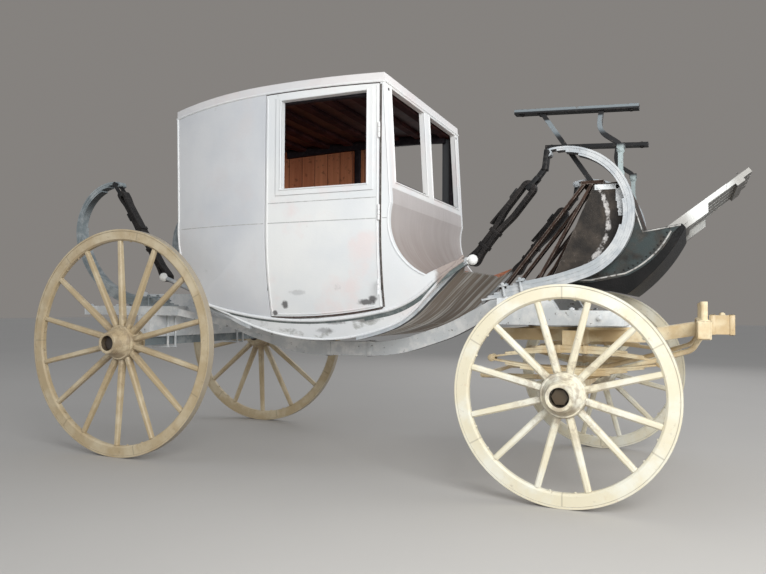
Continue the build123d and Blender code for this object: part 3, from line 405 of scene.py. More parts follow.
class Signal:
    """A socket of numbers that Python's own operators join into Math nodes."""

    def __init__(self, shade: "Shade", socket: bpy.types.NodeSocket) -> None:
        """Wrap a socket of a shade's node tree."""
        self.shade = shade
        self.socket = socket

    def __add__(self, other: "Signal | float") -> "Signal":
        """Their sum."""
        return self.shade.maths("ADD", self, other)

    def __sub__(self, other: "Signal | float") -> "Signal":
        """Their difference."""
        return self.shade.maths("SUBTRACT", self, other)

    def __rsub__(self, other: "Signal | float") -> "Signal":
        """Their difference, with the number first."""
        return self.shade.maths("SUBTRACT", other, self)

    def __mul__(self, other: "Signal | float") -> "Signal":
        """Their product."""
        return self.shade.maths("MULTIPLY", self, other)

    def __truediv__(self, other: "Signal | float") -> "Signal":
        """Their quotient."""
        return self.shade.maths("DIVIDE", self, other)

    def __abs__(self) -> "Signal":
        """Its size without its sign."""
        return self.shade.maths("ABSOLUTE", self)

    __radd__ = __add__
    __rmul__ = __mul__

    def whole(self) -> "Signal":
        """The whole number below it."""
        return self.shade.maths("FLOOR", self)

    def part(self) -> "Signal":
        """What is left over the whole number."""
        return self.shade.maths("FRACT", self)

    def root(self) -> "Signal":
        """Its square root."""
        return self.shade.maths("SQRT", self)

    def at_least(self, other: "Signal | float") -> "Signal":
        """The larger of the two."""
        return self.shade.maths("MAXIMUM", self, other)

    def rise(self, low: float, high: float) -> "Signal":
        """A smooth step from 0 at low to 1 at high."""
        made = self.shade.node(
            "ShaderNodeMapRange", {"interpolation_type": "SMOOTHSTEP", "clamp": True},
            {"Value": self, "From Min": low, "From Max": high, "To Min": 0.0, "To Max": 1.0},
        )
        return Signal(self.shade, made.outputs["Result"])


class Wiring:
    """A node tree, and the one way that a node is added to it."""

    def __init__(self, tree: bpy.types.NodeTree) -> None:
        """Start with an empty tree."""
        self.tree = tree
        self.tree.nodes.clear()

    def node(
        self, kind: str, settings: dict[str, object] | None = None,
        sockets: dict[str | int, object] | None = None,
    ) -> bpy.types.Node:
        """Add any node.

        Args:
            kind: The node's type.
            settings: Its properties, which are set first.
            sockets: Values or links for its inputs, by name, identifier or number.

        Returns:
            The node.
        """
        made = self.tree.nodes.new(kind)
        for key, value in (settings or {}).items():
            setattr(made, key, value)
        for key, value in (sockets or {}).items():
            named = [s for s in made.inputs if key in (s.identifier, s.name)]
            self.feed(made.inputs[key] if isinstance(key, int) else named[0], value)
        return made

    def feed(self, socket: bpy.types.NodeSocket, value: object) -> None:
        """Give a socket a link, a colour or a number."""
        if isinstance(value, Signal):
            value = value.socket
        if isinstance(value, bpy.types.NodeSocket):
            self.tree.links.new(value, socket)
        elif socket.type == "RGBA":
            socket.default_value = (*value, 1.0)
        else:
            socket.default_value = value


class Shade(Wiring):
    """One material's node tree, ending in a principled surface."""

    sharpness: Pair = (0.02, 0.25)
    axle_grease: Colour = (0.040, 0.025, 0.014)

    def __init__(self, name: str) -> None:
        """Start a material with its surface wired up."""
        self.material = bpy.data.materials.new(name)
        self.material.use_nodes = True
        super().__init__(self.material.node_tree)
        self.surface = self.node("ShaderNodeBsdfPrincipled")
        self.node("ShaderNodeOutputMaterial", sockets={"Surface": self.surface.outputs["BSDF"]})
        self.where = self.node("ShaderNodeTexCoord")

    def maths(self, operation: str, *values: Signal | float) -> Signal:
        """One Math node on values."""
        made = self.node("ShaderNodeMath", {"operation": operation}, dict(enumerate(values)))
        return Signal(self, made.outputs["Value"])

    def split(self, vector: bpy.types.NodeSocket) -> tuple[Signal, Signal, Signal]:
        """A vector's three parts."""
        made = self.node("ShaderNodeSeparateXYZ", sockets={"Vector": vector})
        return tuple(Signal(self, socket) for socket in made.outputs)

    def place(self) -> tuple[Signal, Signal, Signal]:
        """Where the surface lies on its body at rest."""
        return self.split(self.where.outputs["Object"])

    def facing(self) -> tuple[Signal, Signal, Signal]:
        """Which way the surface faces on its body at rest."""
        return self.split(self.where.outputs["Normal"])

    def stretched(self, scale: Triple, shift: float = 0.0) -> bpy.types.NodeSocket:
        """The surface's place, stretched and shifted for a pattern."""
        made = self.node(
            "ShaderNodeMapping", {"vector_type": "POINT"},
            {"Vector": self.where.outputs["Object"], "Scale": scale, "Location": (shift, shift, shift)},
        )
        return made.outputs["Vector"]

    def noise(
        self, scale: float, detail: float = 3.0, roughness: float = 0.55,
        stretch: Triple = EVEN, shift: float = 0.0,
    ) -> Signal:
        """Cloudy noise from 0 to 1.

        Args:
            scale: How fine it is, in clouds a metre.
            detail: How many finer layers it has.
            roughness: How strong those are.
            stretch: How it is squeezed along X, Y and Z.
            shift: Moves it, so that two noises differ.

        Returns:
            The noise.
        """
        made = self.node(
            "ShaderNodeTexNoise", {"noise_dimensions": "3D"},
            {
                "Vector": self.stretched(stretch, shift), "Scale": scale, "Detail": detail,
                "Roughness": roughness,
            },
        )
        return Signal(self, made.outputs[0])

    def cracks(self, scale: float) -> Signal:
        """Distance from the nearest crack of a crazed surface."""
        made = self.node(
            "ShaderNodeTexVoronoi", {"feature": "DISTANCE_TO_EDGE"},
            {"Vector": self.stretched(EVEN), "Scale": scale},
        )
        return Signal(self, made.outputs["Distance"])

    def chance(self, number: Signal) -> Signal:
        """A random value for each whole number."""
        made = self.node("ShaderNodeTexWhiteNoise", {"noise_dimensions": "1D"}, {"W": number})
        return Signal(self, made.outputs["Value"])

    def edge(self, reach: float) -> Signal:
        """A mask of what lies near a corner.

        Args:
            reach: How far from the corner it goes.

        Returns:
            The mask, 1 along corners.
        """
        soft = self.node("ShaderNodeBevel", {"samples": 4}, {"Radius": reach})
        plain = self.node("ShaderNodeNewGeometry")
        made = self.node(
            "ShaderNodeVectorMath", {"operation": "DOT_PRODUCT"},
            {0: soft.outputs["Normal"], 1: plain.outputs["Normal"]},
        )
        return (1 - Signal(self, made.outputs["Value"])).rise(*self.sharpness)

    def grease(self, colour: object, beyond: float) -> bpy.types.NodeSocket:
        """Black axle grease over everything further out than a distance."""
        y = self.place()[1]
        smear = abs(y) + (self.noise(60.0, 3.0) - 0.5) * 0.01
        return self.mix(smear.rise(beyond, beyond + 0.004) * 0.93, colour, self.axle_grease)

    def mix(self, mask: Signal | float, first: object, second: object) -> bpy.types.NodeSocket:
        """Two colours mixed by a mask."""
        made = self.node(
            "ShaderNodeMix", {"data_type": "RGBA"},
            {"Factor_Float": mask, "A_Color": first, "B_Color": second},
        )
        return next(s for s in made.outputs if s.identifier == "Result_Color")

    def dress(
        self, colour: object, roughness: Signal | float, height: Signal | None = None,
        depth: float = 0.001, soft: float = 0.0, metal: float = 0.0, shine: float = 0.5,
    ) -> bpy.types.Material:
        """Wire the surface.

        Args:
            colour: Its base colour.
            roughness: Its roughness.
            height: The relief of its surface, from 0 to 1.
            depth: How deep that relief is.
            soft: How far its corners look rounded.
            metal: How metallic it is.
            shine: How strongly it mirrors light.

        Returns:
            The material.
        """
        normal = None
        if soft:
            normal = self.node("ShaderNodeBevel", {"samples": 4}, {"Radius": soft}).outputs["Normal"]
        if height is not None:
            bump = self.node("ShaderNodeBump", sockets={"Height": height, "Distance": depth, "Strength": 1.0})
            if normal is not None:
                self.feed(bump.inputs["Normal"], normal)
            normal = bump.outputs["Normal"]
        self.feed(self.surface.inputs["Base Color"], colour)
        self.feed(self.surface.inputs["Roughness"], roughness)
        self.feed(self.surface.inputs["Metallic"], metal)
        self.feed(self.surface.inputs["Specular IOR Level"], shine)
        if normal is not None:
            self.feed(self.surface.inputs["Normal"], normal)
        return self.material


@dataclass(frozen=True)
class Stain:
    """A dark patch on a side panel, as its place in the side view and its half sizes."""

    x: float
    z: float
    long: float
    high: float
    strength: float = 0.85


@dataclass(frozen=True)
class BoardLook:
    """How bare boards look: their colours, their width and how much they differ."""

    dark: Colour
    light: Colour
    gap: Colour
    pitch: float
    grain: Grain
    spread: float = 0.6
    blots: float = 0.5

    def paint(self, shade: Shade, lay: Signal) -> tuple[bpy.types.NodeSocket, Signal]:
        """Paint boards that lie side by side.

        Args:
            shade: The material to paint.
            lay: The distance across the boards.

        Returns:
            Their colour, and the relief of their grain and joints.
        """
        count = lay / self.pitch
        place = count.part()
        joint = 1 - place.rise(0.0, 0.045) * (1 - place.rise(0.955, 1.0))
        grain = shade.noise(42.0, 5.0, 0.62, self.grain.value)
        tone = shade.chance(count.whole()) * self.spread + grain.rise(0.3, 0.75) * (1 - self.spread)
        colour = shade.mix(tone, self.dark, self.light)
        colour = shade.mix(joint * 0.85, colour, self.gap)
        blots = shade.noise(26.0, 4.0, 0.6, shift=6.0).rise(0.56, 0.70)
        colour = shade.mix(blots * self.blots, colour, self.gap)
        return colour, grain * 0.35 + (1 - joint) * 0.65


INNER_BOARDS = BoardLook((0.40, 0.13, 0.06), (0.70, 0.30, 0.15), (0.05, 0.02, 0.012), 0.098, Grain.UPRIGHT)
CEILING_BOARDS = BoardLook(
    (0.028, 0.009, 0.010), (0.085, 0.028, 0.026), (0.008, 0.004, 0.004), 0.085, Grain.FORE_AFT
)
POST_LINING = BoardLook(
    (0.035, 0.038, 0.042), (0.085, 0.090, 0.095), (0.010, 0.010, 0.010), 0.300, Grain.UPRIGHT
)
SEAT_BOARDS = BoardLook(
    (0.022, 0.014, 0.012), (0.205, 0.115, 0.075), (0.015, 0.010, 0.009), 0.160, Grain.UPRIGHT, 0.8
)
BOOT_BOARDS = BoardLook(
    (0.030, 0.022, 0.018), (0.085, 0.060, 0.048), (0.010, 0.008, 0.008), 0.142, Grain.CROSSWISE, 0.3
)


@dataclass(frozen=True)
class WhitePrimer:
    """Flat white primer, hand rubbed, with rosy and grey patches, on panels bare inside."""

    name: str
    lining: Lining = Lining.NONE
    grime: float = 0.2
    stains: tuple[Stain, ...] = ()
    cool: Colour = (0.735, 0.750, 0.765)
    warm: Colour = (0.820, 0.815, 0.800)
    rosy: Colour = (0.800, 0.715, 0.700)
    dirt: Colour = (0.300, 0.300, 0.275)
    dark: Colour = (0.060, 0.055, 0.055)
    boards: BoardLook = INNER_BOARDS
    post_x: float = 0.0
    post: Colour = (0.045, 0.048, 0.052)
    tail_x: float = 0.0
    tail: Colour = (0.300, 0.235, 0.205)

    def _rub(self, shade: Shade) -> bpy.types.NodeSocket:
        """The primer's own colour, with its patches and dirt."""
        cloud = shade.noise(1.6, 4.0).rise(0.36, 0.64)
        colour = shade.mix(cloud, self.cool, self.warm)
        blush = shade.noise(4.2, 4.0, shift=3.1).rise(0.50, 0.70) * 0.55
        colour = shade.mix(blush, colour, self.rosy)
        rubbed = shade.noise(30.0, 4.0, 0.6, (1.0, 1.0, 0.3), 7.3).rise(0.5, 0.75) * 0.16
        colour = shade.mix(rubbed, colour, self.cool)
        edge = 0.72 - 0.24 * self.grime
        soil = shade.noise(8.5, 5.0, 0.6, (1.0, 1.0, 1.6), 11.7).rise(edge, edge + 0.13)
        return shade.mix(soil * (0.25 + 0.6 * self.grime), colour, self.dirt)

    def _spot(self, shade: Shade, colour: object) -> bpy.types.NodeSocket:
        """The stains laid over a colour."""
        x, _, z = shade.place()
        ragged = shade.noise(60.0, 4.0) * 0.9 - 0.45
        for stain in self.stains:
            across = (x - (REAR_AXLE_X + stain.x)) / stain.long
            rise = (z - stain.z) / stain.high
            reach = (across * across + rise * rise).root() + ragged
            colour = shade.mix((1 - reach.rise(0.45, 1.05)) * stain.strength, colour, self.dark)
        return colour

    def build(self) -> bpy.types.Material:
        """Make the material."""
        shade = Shade(self.name)
        colour = self._spot(shade, self._rub(shade))
        height = shade.noise(90.0, 3.0) * 0.5 + shade.noise(14.0, 3.0, 0.5, (1.0, 1.0, 0.4)) * 0.5
        if self.lining is not Lining.NONE:
            x, y, _ = shade.place()
            nx, ny, nz = shade.facing()
            inward = {
                Lining.SIDES: 0 - ny * y, Lining.FRONT: 0 - nx, Lining.REAR: nx, Lining.CEILING: 0 - nz,
            }[self.lining]
            mask = inward.rise(0.15, 0.25)
            lay = x if self.lining is Lining.SIDES else y
            bare, grain = self.boards.paint(shade, lay)
            if self.post_x:
                start = REAR_AXLE_X + self.post_x
                bare = shade.mix(x.rise(start, start + 0.003), bare, self.post)
            colour = shade.mix(mask, colour, bare)
            height = height * (1 - mask) + grain * mask
        if self.tail_x:
            x = shade.place()[0] + (shade.noise(30.0, 4.0) - 0.5) * 0.05
            start = REAR_AXLE_X + self.tail_x
            colour = shade.mix(x.rise(start, start + 0.035) * 0.9, colour, self.tail)
        rough = 0.46 + shade.noise(18.0, 3.0) * 0.2
        return shade.dress(colour, rough, height, 0.0012, soft=0.004)


@dataclass(frozen=True)
class BarePanel:
    """Thin undercoat over board, with fore-and-aft streaks rubbed pale."""

    name: str
    low: Colour
    high: Colour
    pale: Colour
    span: Pair
    streaks: float
    boards: BoardLook | None = None

    def build(self) -> bpy.types.Material:
        """Make the material."""
        shade = Shade(self.name)
        _, y, z = shade.place()
        nx, _, nz = shade.facing()
        rise = z.rise(*self.span) * 0.8 + shade.noise(3.0, 4.0) * 0.4
        colour = shade.mix(rise, self.low, self.high)
        lines = shade.noise(15.0, 4.0, 0.6, (0.10, 1.0, 0.10), 2.0).rise(0.44, 0.60)
        colour = shade.mix(lines * self.streaks, colour, self.pale)
        worn = shade.edge(0.014) * shade.noise(20.0, 3.0).rise(0.3, 0.6)
        colour = shade.mix(worn, colour, self.pale)
        height = shade.noise(70.0, 4.0) * 0.5 + lines * 0.5
        if self.boards is not None:
            mask = (nz * 0.8 - nx * 0.8).rise(0.35, 0.5)
            bare, grain = self.boards.paint(shade, y)
            colour = shade.mix(mask, colour, bare)
            height = height * (1 - mask) + grain * mask
        return shade.dress(colour, 0.62 + shade.noise(25.0) * 0.16, height, 0.0012, soft=0.004)


@dataclass(frozen=True)
class PlainBoards:
    """Bare boards of one look, laid along one axis."""

    name: str
    look: BoardLook
    lay_axis: int
    worn: Colour | None = None

    def build(self) -> bpy.types.Material:
        """Make the material."""
        shade = Shade(self.name)
        colour, grain = self.look.paint(shade, shade.place()[self.lay_axis] + 0.013)
        if self.worn is not None:
            patches = shade.edge(0.007) * shade.noise(30.0, 4.0).rise(0.35, 0.6)
            colour = shade.mix(patches, colour, self.worn)
        return shade.dress(colour, 0.65 + grain * 0.2, grain, 0.0012, soft=0.003, shine=0.15)


@dataclass(frozen=True)
class PrimedIron:
    """Iron or ash under grey primer, chipped at its edges, with painted shade darkening its undersides."""

    name: str
    paint: Colour
    pale: Colour
    chip: Colour
    # Near-black used as painted shade on faces that look down.
    under: Colour
    wear: float = 0.5
    balls: tuple[Vector, ...] = ()
    greasy_y: float = 0.0
    ball_paint: Colour = (0.84, 0.84, 0.82)

    def build(self) -> bpy.types.Material:
        """Make the material."""
        shade = Shade(self.name)
        x, y, z = shade.place()
        _, _, nz = shade.facing()
        patches = shade.noise(11.0, 5.0, 0.62)
        colour = shade.mix(patches.rise(0.42, 0.66), self.paint, self.pale)
        rubbed = shade.noise(38.0, 5.0, 0.65, shift=5.0)
        edges = shade.edge(0.004)
        chips = (rubbed + edges * 0.10).rise(0.66 - 0.1 * self.wear, 0.74 - 0.1 * self.wear)
        # Painted shade: faces that look down are darkened toward the underside colour.
        below = (0 - nz + (patches - 0.5) * 0.6).rise(0.25, 0.75)
        colour = shade.mix(below * 0.9, colour, self.under)
        colour = shade.mix(chips * 0.85, colour, self.chip)
        for ball in self.balls:
            away = (x - ball.x) * (x - ball.x) + (abs(y) - ball.y) * (abs(y) - ball.y)
            away = (away + (z - ball.z) * (z - ball.z)).root()
            colour = shade.mix(1 - away.rise(0.029, 0.034), colour, self.ball_paint)
        if self.greasy_y:
            colour = shade.grease(colour, self.greasy_y)
        height = shade.noise(120.0, 3.0) * 0.3 + patches * 0.4 - chips * 0.3
        return shade.dress(colour, 0.5 + rubbed * 0.22, height, 0.0006, soft=0.002)


@dataclass(frozen=True)
class OldLeather:
    """Dry black or brown leather, crazed and rubbed pale."""

    name: str
    hide: Colour
    deep: Colour
    worn: Colour
    wear: float
    craze: float = 160.0
    rub: Vector | None = None
    rub_radius: float = 0.0
    rubbed_white: Colour = (0.640, 0.610, 0.590)
    teal: Colour = (0.040, 0.052, 0.052)

    def _rubbed_arc(self, shade: Shade, colour: object) -> bpy.types.NodeSocket:
        """The pale arc that the spring has rubbed, and the greener leather ahead of it."""
        x, _, z = shade.place()
        dx, dz = x - self.rub.x, z - self.rub.z
        reach = (dx * dx + dz * dz).root() - self.rub_radius
        ahead = shade.noise(12.0, 4.0, shift=8.0).rise(0.3, 0.6) * (reach - dz * 0.25).rise(0.04, 0.14)
        colour = shade.mix(ahead, colour, self.teal)
        ragged = shade.noise(24.0, 6.0, 0.7, shift=3.0) * 0.8 + shade.noise(95.0, 3.0) * 0.2
        near = 1 - (abs(reach) + (0 - dx).rise(0.0, 0.02)).rise(0.004, 0.040)
        return shade.mix((ragged * near).rise(0.43, 0.60) * 0.8, colour, self.rubbed_white)

    def build(self) -> bpy.types.Material:
        """Make the material."""
        shade = Shade(self.name)
        cloud = shade.noise(9.0, 5.0, 0.6)
        colour = shade.mix(cloud.rise(0.35, 0.7), self.deep, self.hide)
        cracks = shade.cracks(self.craze).rise(0.0, 0.12)
        folds = shade.noise(55.0, 5.0, 0.7)
        rubbed = (folds * 0.6 + cloud * 0.4 + shade.edge(0.008) * 0.16).rise(
            0.62 - 0.12 * self.wear, 0.74 - 0.12 * self.wear
        )
        colour = shade.mix(rubbed * (0.35 + 0.5 * self.wear), colour, self.worn)
        if self.rub is not None:
            colour = self._rubbed_arc(shade, colour)
        height = cracks * 0.35 + folds * 0.65
        rough = 0.5 + rubbed * 0.25 + (1 - cracks) * 0.1
        return shade.dress(colour, rough, height, 0.0012, soft=0.003, shine=0.18)


@dataclass(frozen=True)
class CoachCream:
    """Satin cream over wood, dusty brown in patches and browned by painted shade on its undersides, rubbed
    pale on its crowns.
    """

    name: str
    middle: Vector | None = None
    radius: float = 0.0
    felloes: int = 0
    grain: Grain = Grain.FORE_AFT
    greasy_y: float = 0.0
    bore: float = 0.0425
    cream: Colour = (0.760, 0.690, 0.510)
    pale: Colour = (0.810, 0.785, 0.665)
    # Brown used for real dirt and also as painted shade on faces that look down.
    dust: Colour = (0.270, 0.195, 0.125)
    joint: Colour = (0.180, 0.140, 0.095)
    iron: Colour = (0.330, 0.290, 0.235)
    rust: Colour = (0.560, 0.310, 0.160)
    grease: Colour = (0.035, 0.020, 0.012)
    felloe_foot: Pair = (0.072, 0.070)
    felloe_top: Pair = (0.012, 0.011)
    tyre_joint: float = 0.0112
    tread: Pair = (0.0022, 0.0008)
    hub: Pair = (0.09, 0.30)

    def _below(self, depths: Pair) -> Pair:
        """Two depths below the tread, as distances from the wheel's middle."""
        return self.radius - depths[0], self.radius - depths[1]

    def _wheel(self, shade: Shade, colour: object) -> bpy.types.NodeSocket:
        """The felloe joints, the worn tread and the darker hub of a wheel."""
        x, _, z = shade.place()
        dx, dz = x - self.middle.x, z - self.middle.z
        reach = (dx * dx + dz * dz).root()
        turn = shade.maths("ARCTAN2", dz, dx) * (self.felloes / math.tau)
        split = 1 - abs(turn.part() - 0.5).rise(0.0, 0.012)
        wood = reach.rise(*self._below(self.felloe_foot)) * (1 - reach.rise(*self._below(self.felloe_top)))
        colour = shade.mix(split * wood * 0.4, colour, self.joint)
        shoulder = 1 - abs(reach - (self.radius - self.tyre_joint)).rise(0.0, self.tread[0])
        colour = shade.mix(shoulder * 0.45, colour, self.joint)
        outer = reach.rise(0.6 * self.radius, self.radius)
        bare = shade.noise(5.0, 5.0, 0.65, shift=13.0).rise(0.62, 0.70) * outer
        colour = shade.mix(bare * 0.5, colour, self.rust)
        hub = 1 - reach.rise(*self.hub)
        soil = shade.noise(22.0, 5.0, 0.65, shift=9.0).rise(0.42, 0.62)
        colour = shade.mix(hub * soil * 0.6, colour, self.dust)
        tread = reach.rise(*self._below(self.tread))
        colour = shade.mix(tread * 0.75, colour, self.iron)
        return shade.mix(1 - reach.rise(self.bore, self.bore + 0.002), colour, self.grease)

    def build(self) -> bpy.types.Material:
        """Make the material."""
        shade = Shade(self.name)
        _, _, nz = shade.facing()
        cloud = shade.noise(7.0, 5.0, 0.6)
        colour = shade.mix(cloud.rise(0.4, 0.68), self.cream, self.pale)
        # Painted shade: faces that look down are browned.
        below = (0 - nz + (cloud - 0.5)).rise(0.35, 0.95)
        colour = shade.mix(below * 0.55, colour, self.dust)
        soil = shade.noise(34.0, 5.0, 0.65, shift=4.0).rise(0.58, 0.76)
        colour = shade.mix(soil * 0.45, colour, self.dust)
        if self.middle is not None:
            colour = self._wheel(shade, colour)
        worn = shade.edge(0.006) * shade.noise(24.0, 4.0, shift=2.0).rise(0.4, 0.6)
        colour = shade.mix(worn * 0.6, colour, self.pale)
        if self.greasy_y:
            colour = shade.grease(colour, self.greasy_y)
        height = shade.noise(60.0, 4.0, 0.6, self.grain.value) * 0.5 + cloud * 0.3 - soil * 0.2
        return shade.dress(colour, 0.42 + soil * 0.25, height, 0.0007, soft=0.004)


@dataclass(frozen=True)
class SeatRailPaint:
    """The seat irons: pale blue-grey on top, black below, grey-green on the front stanchions; the black on
    the rail's lower half and on inward and downward faces is painted shade.
    """

    name: str
    stanchion: Vector
    rail: Vector
    fall: float = 31 / 592
    top: Colour = (0.175, 0.200, 0.215)
    # Black for the legs, and painted shade on the rail's lower half and on faces that look in or down.
    black: Colour = (0.010, 0.010, 0.011)
    green: Colour = (0.330, 0.385, 0.385)
    chip: Colour = (0.120, 0.095, 0.080)

    def build(self) -> bpy.types.Material:
        """Make the material."""
        shade = Shade(self.name)
        x, y, z = shade.place()
        _, ny, nz = shade.facing()
        cloud = shade.noise(14.0, 5.0, 0.6)
        # Painted shade: the rail's lower half and faces that look in or down stay black; only upper and outer
        # faces get the blue-grey.
        rail = z.rise(self.stanchion.z + 0.06, self.stanchion.z + 0.10)
        height = z - self.rail.z + (x - self.rail.x) * self.fall
        ahead = x.rise(self.rail.x, self.rail.x + 0.001)
        above = z.rise(self.rail.z - 0.06, self.rail.z - 0.05)
        lit = 1 - ahead * above * (1 - height.rise(-0.004, 0.001))
        lit_faces = (ny * y * 3 + nz.at_least(0.0) + (cloud - 0.5) * 0.3).rise(0.35, 0.6) * lit
        colour = shade.mix(rail * lit_faces, self.black, self.top)
        low = (1 - z.rise(self.stanchion.z - 0.012, self.stanchion.z + 0.012)) * x.rise(
            self.stanchion.x - 0.05, self.stanchion.x - 0.045
        )
        colour = shade.mix(low, colour, self.green)
        chips = (shade.noise(45.0, 5.0, 0.65) + shade.edge(0.005) * 0.15).rise(0.63, 0.72)
        colour = shade.mix(chips * 0.7, colour, self.chip)
        return shade.dress(colour, 0.45 + cloud * 0.2, cloud, 0.0006, soft=0.003, shine=0.25)


@dataclass(frozen=True)
class FootboardPaint:
    """Off-white paint on slats, brighter in the middle of their length and dull at both ends, with near-black
    painted shade on their undersides.
    """

    name: str
    foot: Vector
    slope: float
    length: float
    bright: Colour = (0.720, 0.725, 0.700)
    dull: Colour = (0.330, 0.315, 0.290)
    # Near-black painted shade for the slats' undersides.
    line: Colour = (0.050, 0.045, 0.040)

    def build(self) -> bpy.types.Material:
        """Make the material."""
        shade = Shade(self.name)
        x, _, z = shade.place()
        _, _, nz = shade.facing()
        along = (x - self.foot.x) * math.cos(self.slope) + (z - self.foot.z) * math.sin(self.slope)
        share = along / self.length + (shade.noise(9.0, 4.0) - 0.5) * 0.12
        middle = share.rise(0.18, 0.34) * (1 - share.rise(0.74, 0.86))
        grain = shade.noise(30.0, 4.0, 0.6, (0.15, 1.0, 0.15))
        colour = shade.mix(middle * 0.85 + grain * 0.15, self.dull, self.bright)
        worn = grain.rise(0.56, 0.72) * 0.35
        colour = shade.mix(worn, colour, self.dull)
        # Painted shade: faces that look down go near-black.
        below = (0 - nz).rise(0.1, 0.5)
        colour = shade.mix(below * 0.85, colour, self.line)
        return shade.dress(colour, 0.5 + grain * 0.2, grain, 0.0006, soft=0.003)


@dataclass(frozen=True)
class PlainCoat:
    """One thin coat with a little cloud in it, for small fittings and lines."""

    name: str
    coat: Colour
    rubbed: Colour
    rough: float = 0.5
    metal: float = 0.0

    def build(self) -> bpy.types.Material:
        """Make the material."""
        shade = Shade(self.name)
        cloud = shade.noise(45.0, 4.0, 0.6)
        colour = shade.mix(cloud.rise(0.45, 0.7), self.coat, self.rubbed)
        return shade.dress(colour, self.rough + cloud * 0.15, cloud, 0.0006, metal=self.metal, shine=0.2)


@dataclass(frozen=True)
class Hull:
    """The body's outer skin: upright and parallel by the doors, drawn in below and at the ends."""

    half: float = 0.627
    rear_half: float = 0.525
    rear_x: float = 0.205
    door: Pair = (0.912, 1.600)
    belt_z: float = 1.334
    section_r: float = 1.800
    wall: float = 0.030
    roof_thick: float = 0.052
    roof: tuple[Pair, Pair, Pair] = ((0.205, 2.066), (0.930, 2.114), (1.628, 2.100))
    brow: Pair = (1.668, 1.420)
    chest: Pair = (1.716, 1.152)
    lap: Pair = (1.850, 1.048)
    lap_rise: Pair = (1.945, 1.091)
    prow: Pair = (2.044, 1.134)
    prow_foot: Pair = (1.822, 0.909)
    prow_bend: Pair = (1.745, 0.839)
    keel_front: Pair = (1.650, 0.784)
    keel: Pair = (1.180, 0.697)
    keel_rear: Pair = (0.617, 0.834)
    stern: Pair = (0.318, 1.050)
    stern_top: Pair = (0.231, 1.400)
    sill: tuple[Pair, ...] = ((0.430, 0.905), (1.000, 0.806), (1.583, 0.856))
    sill_rise: tuple[Pair, ...] = ((1.583, 0.856), (1.735, 0.903), (1.886, 1.008))
    sill_tip: Pair = (2.044, 1.117)

    def plan_r(self) -> float:
        """Radius of the sides' curve in plan."""
        taper, drop = self.door[0] - self.rear_x, self.half - self.rear_half
        return (taper ** 2 + drop ** 2) / (2 * drop)

    def skin(self, x: float, z: float, side: Side) -> tuple[Vector, Vector]:
        """A point of the side panels.

        Args:
            x: Its distance ahead of the rear axle.
            z: Its height.
            side: Which side it is on.

        Returns:
            The point, and the way the panel faces there.
        """
        run = x - min(max(x, self.door[0]), self.door[1])
        low = max(self.belt_z - z, 0.0)
        radius = self.plan_r()
        plan = self.half - radius + math.sqrt(radius ** 2 - run ** 2)
        section = self.half - self.section_r + math.sqrt(self.section_r ** 2 - low ** 2)
        if plan <= section:
            lean = run / radius
            out = Vector((lean, side.value * math.sqrt(1 - lean ** 2), 0.0))
        else:
            lean = low / self.section_r
            out = Vector((0.0, side.value * math.sqrt(1 - lean ** 2), -lean))
        return at(x, side.value * min(plan, section), z), out

    def run(self, points: Iterable[Pair], side: Side) -> list[Matrix]:
        """Places on the side panels along a line of the side view."""
        found = [self.skin(x, z, side) for x, z in points]
        return run_of([point for point, _ in found], [out for _, out in found])

    def eave(self, drop: float) -> list[Pair]:
        """The roof's side line, lowered."""
        return shifted(arc(*self.roof, steps=24), dz=-drop)


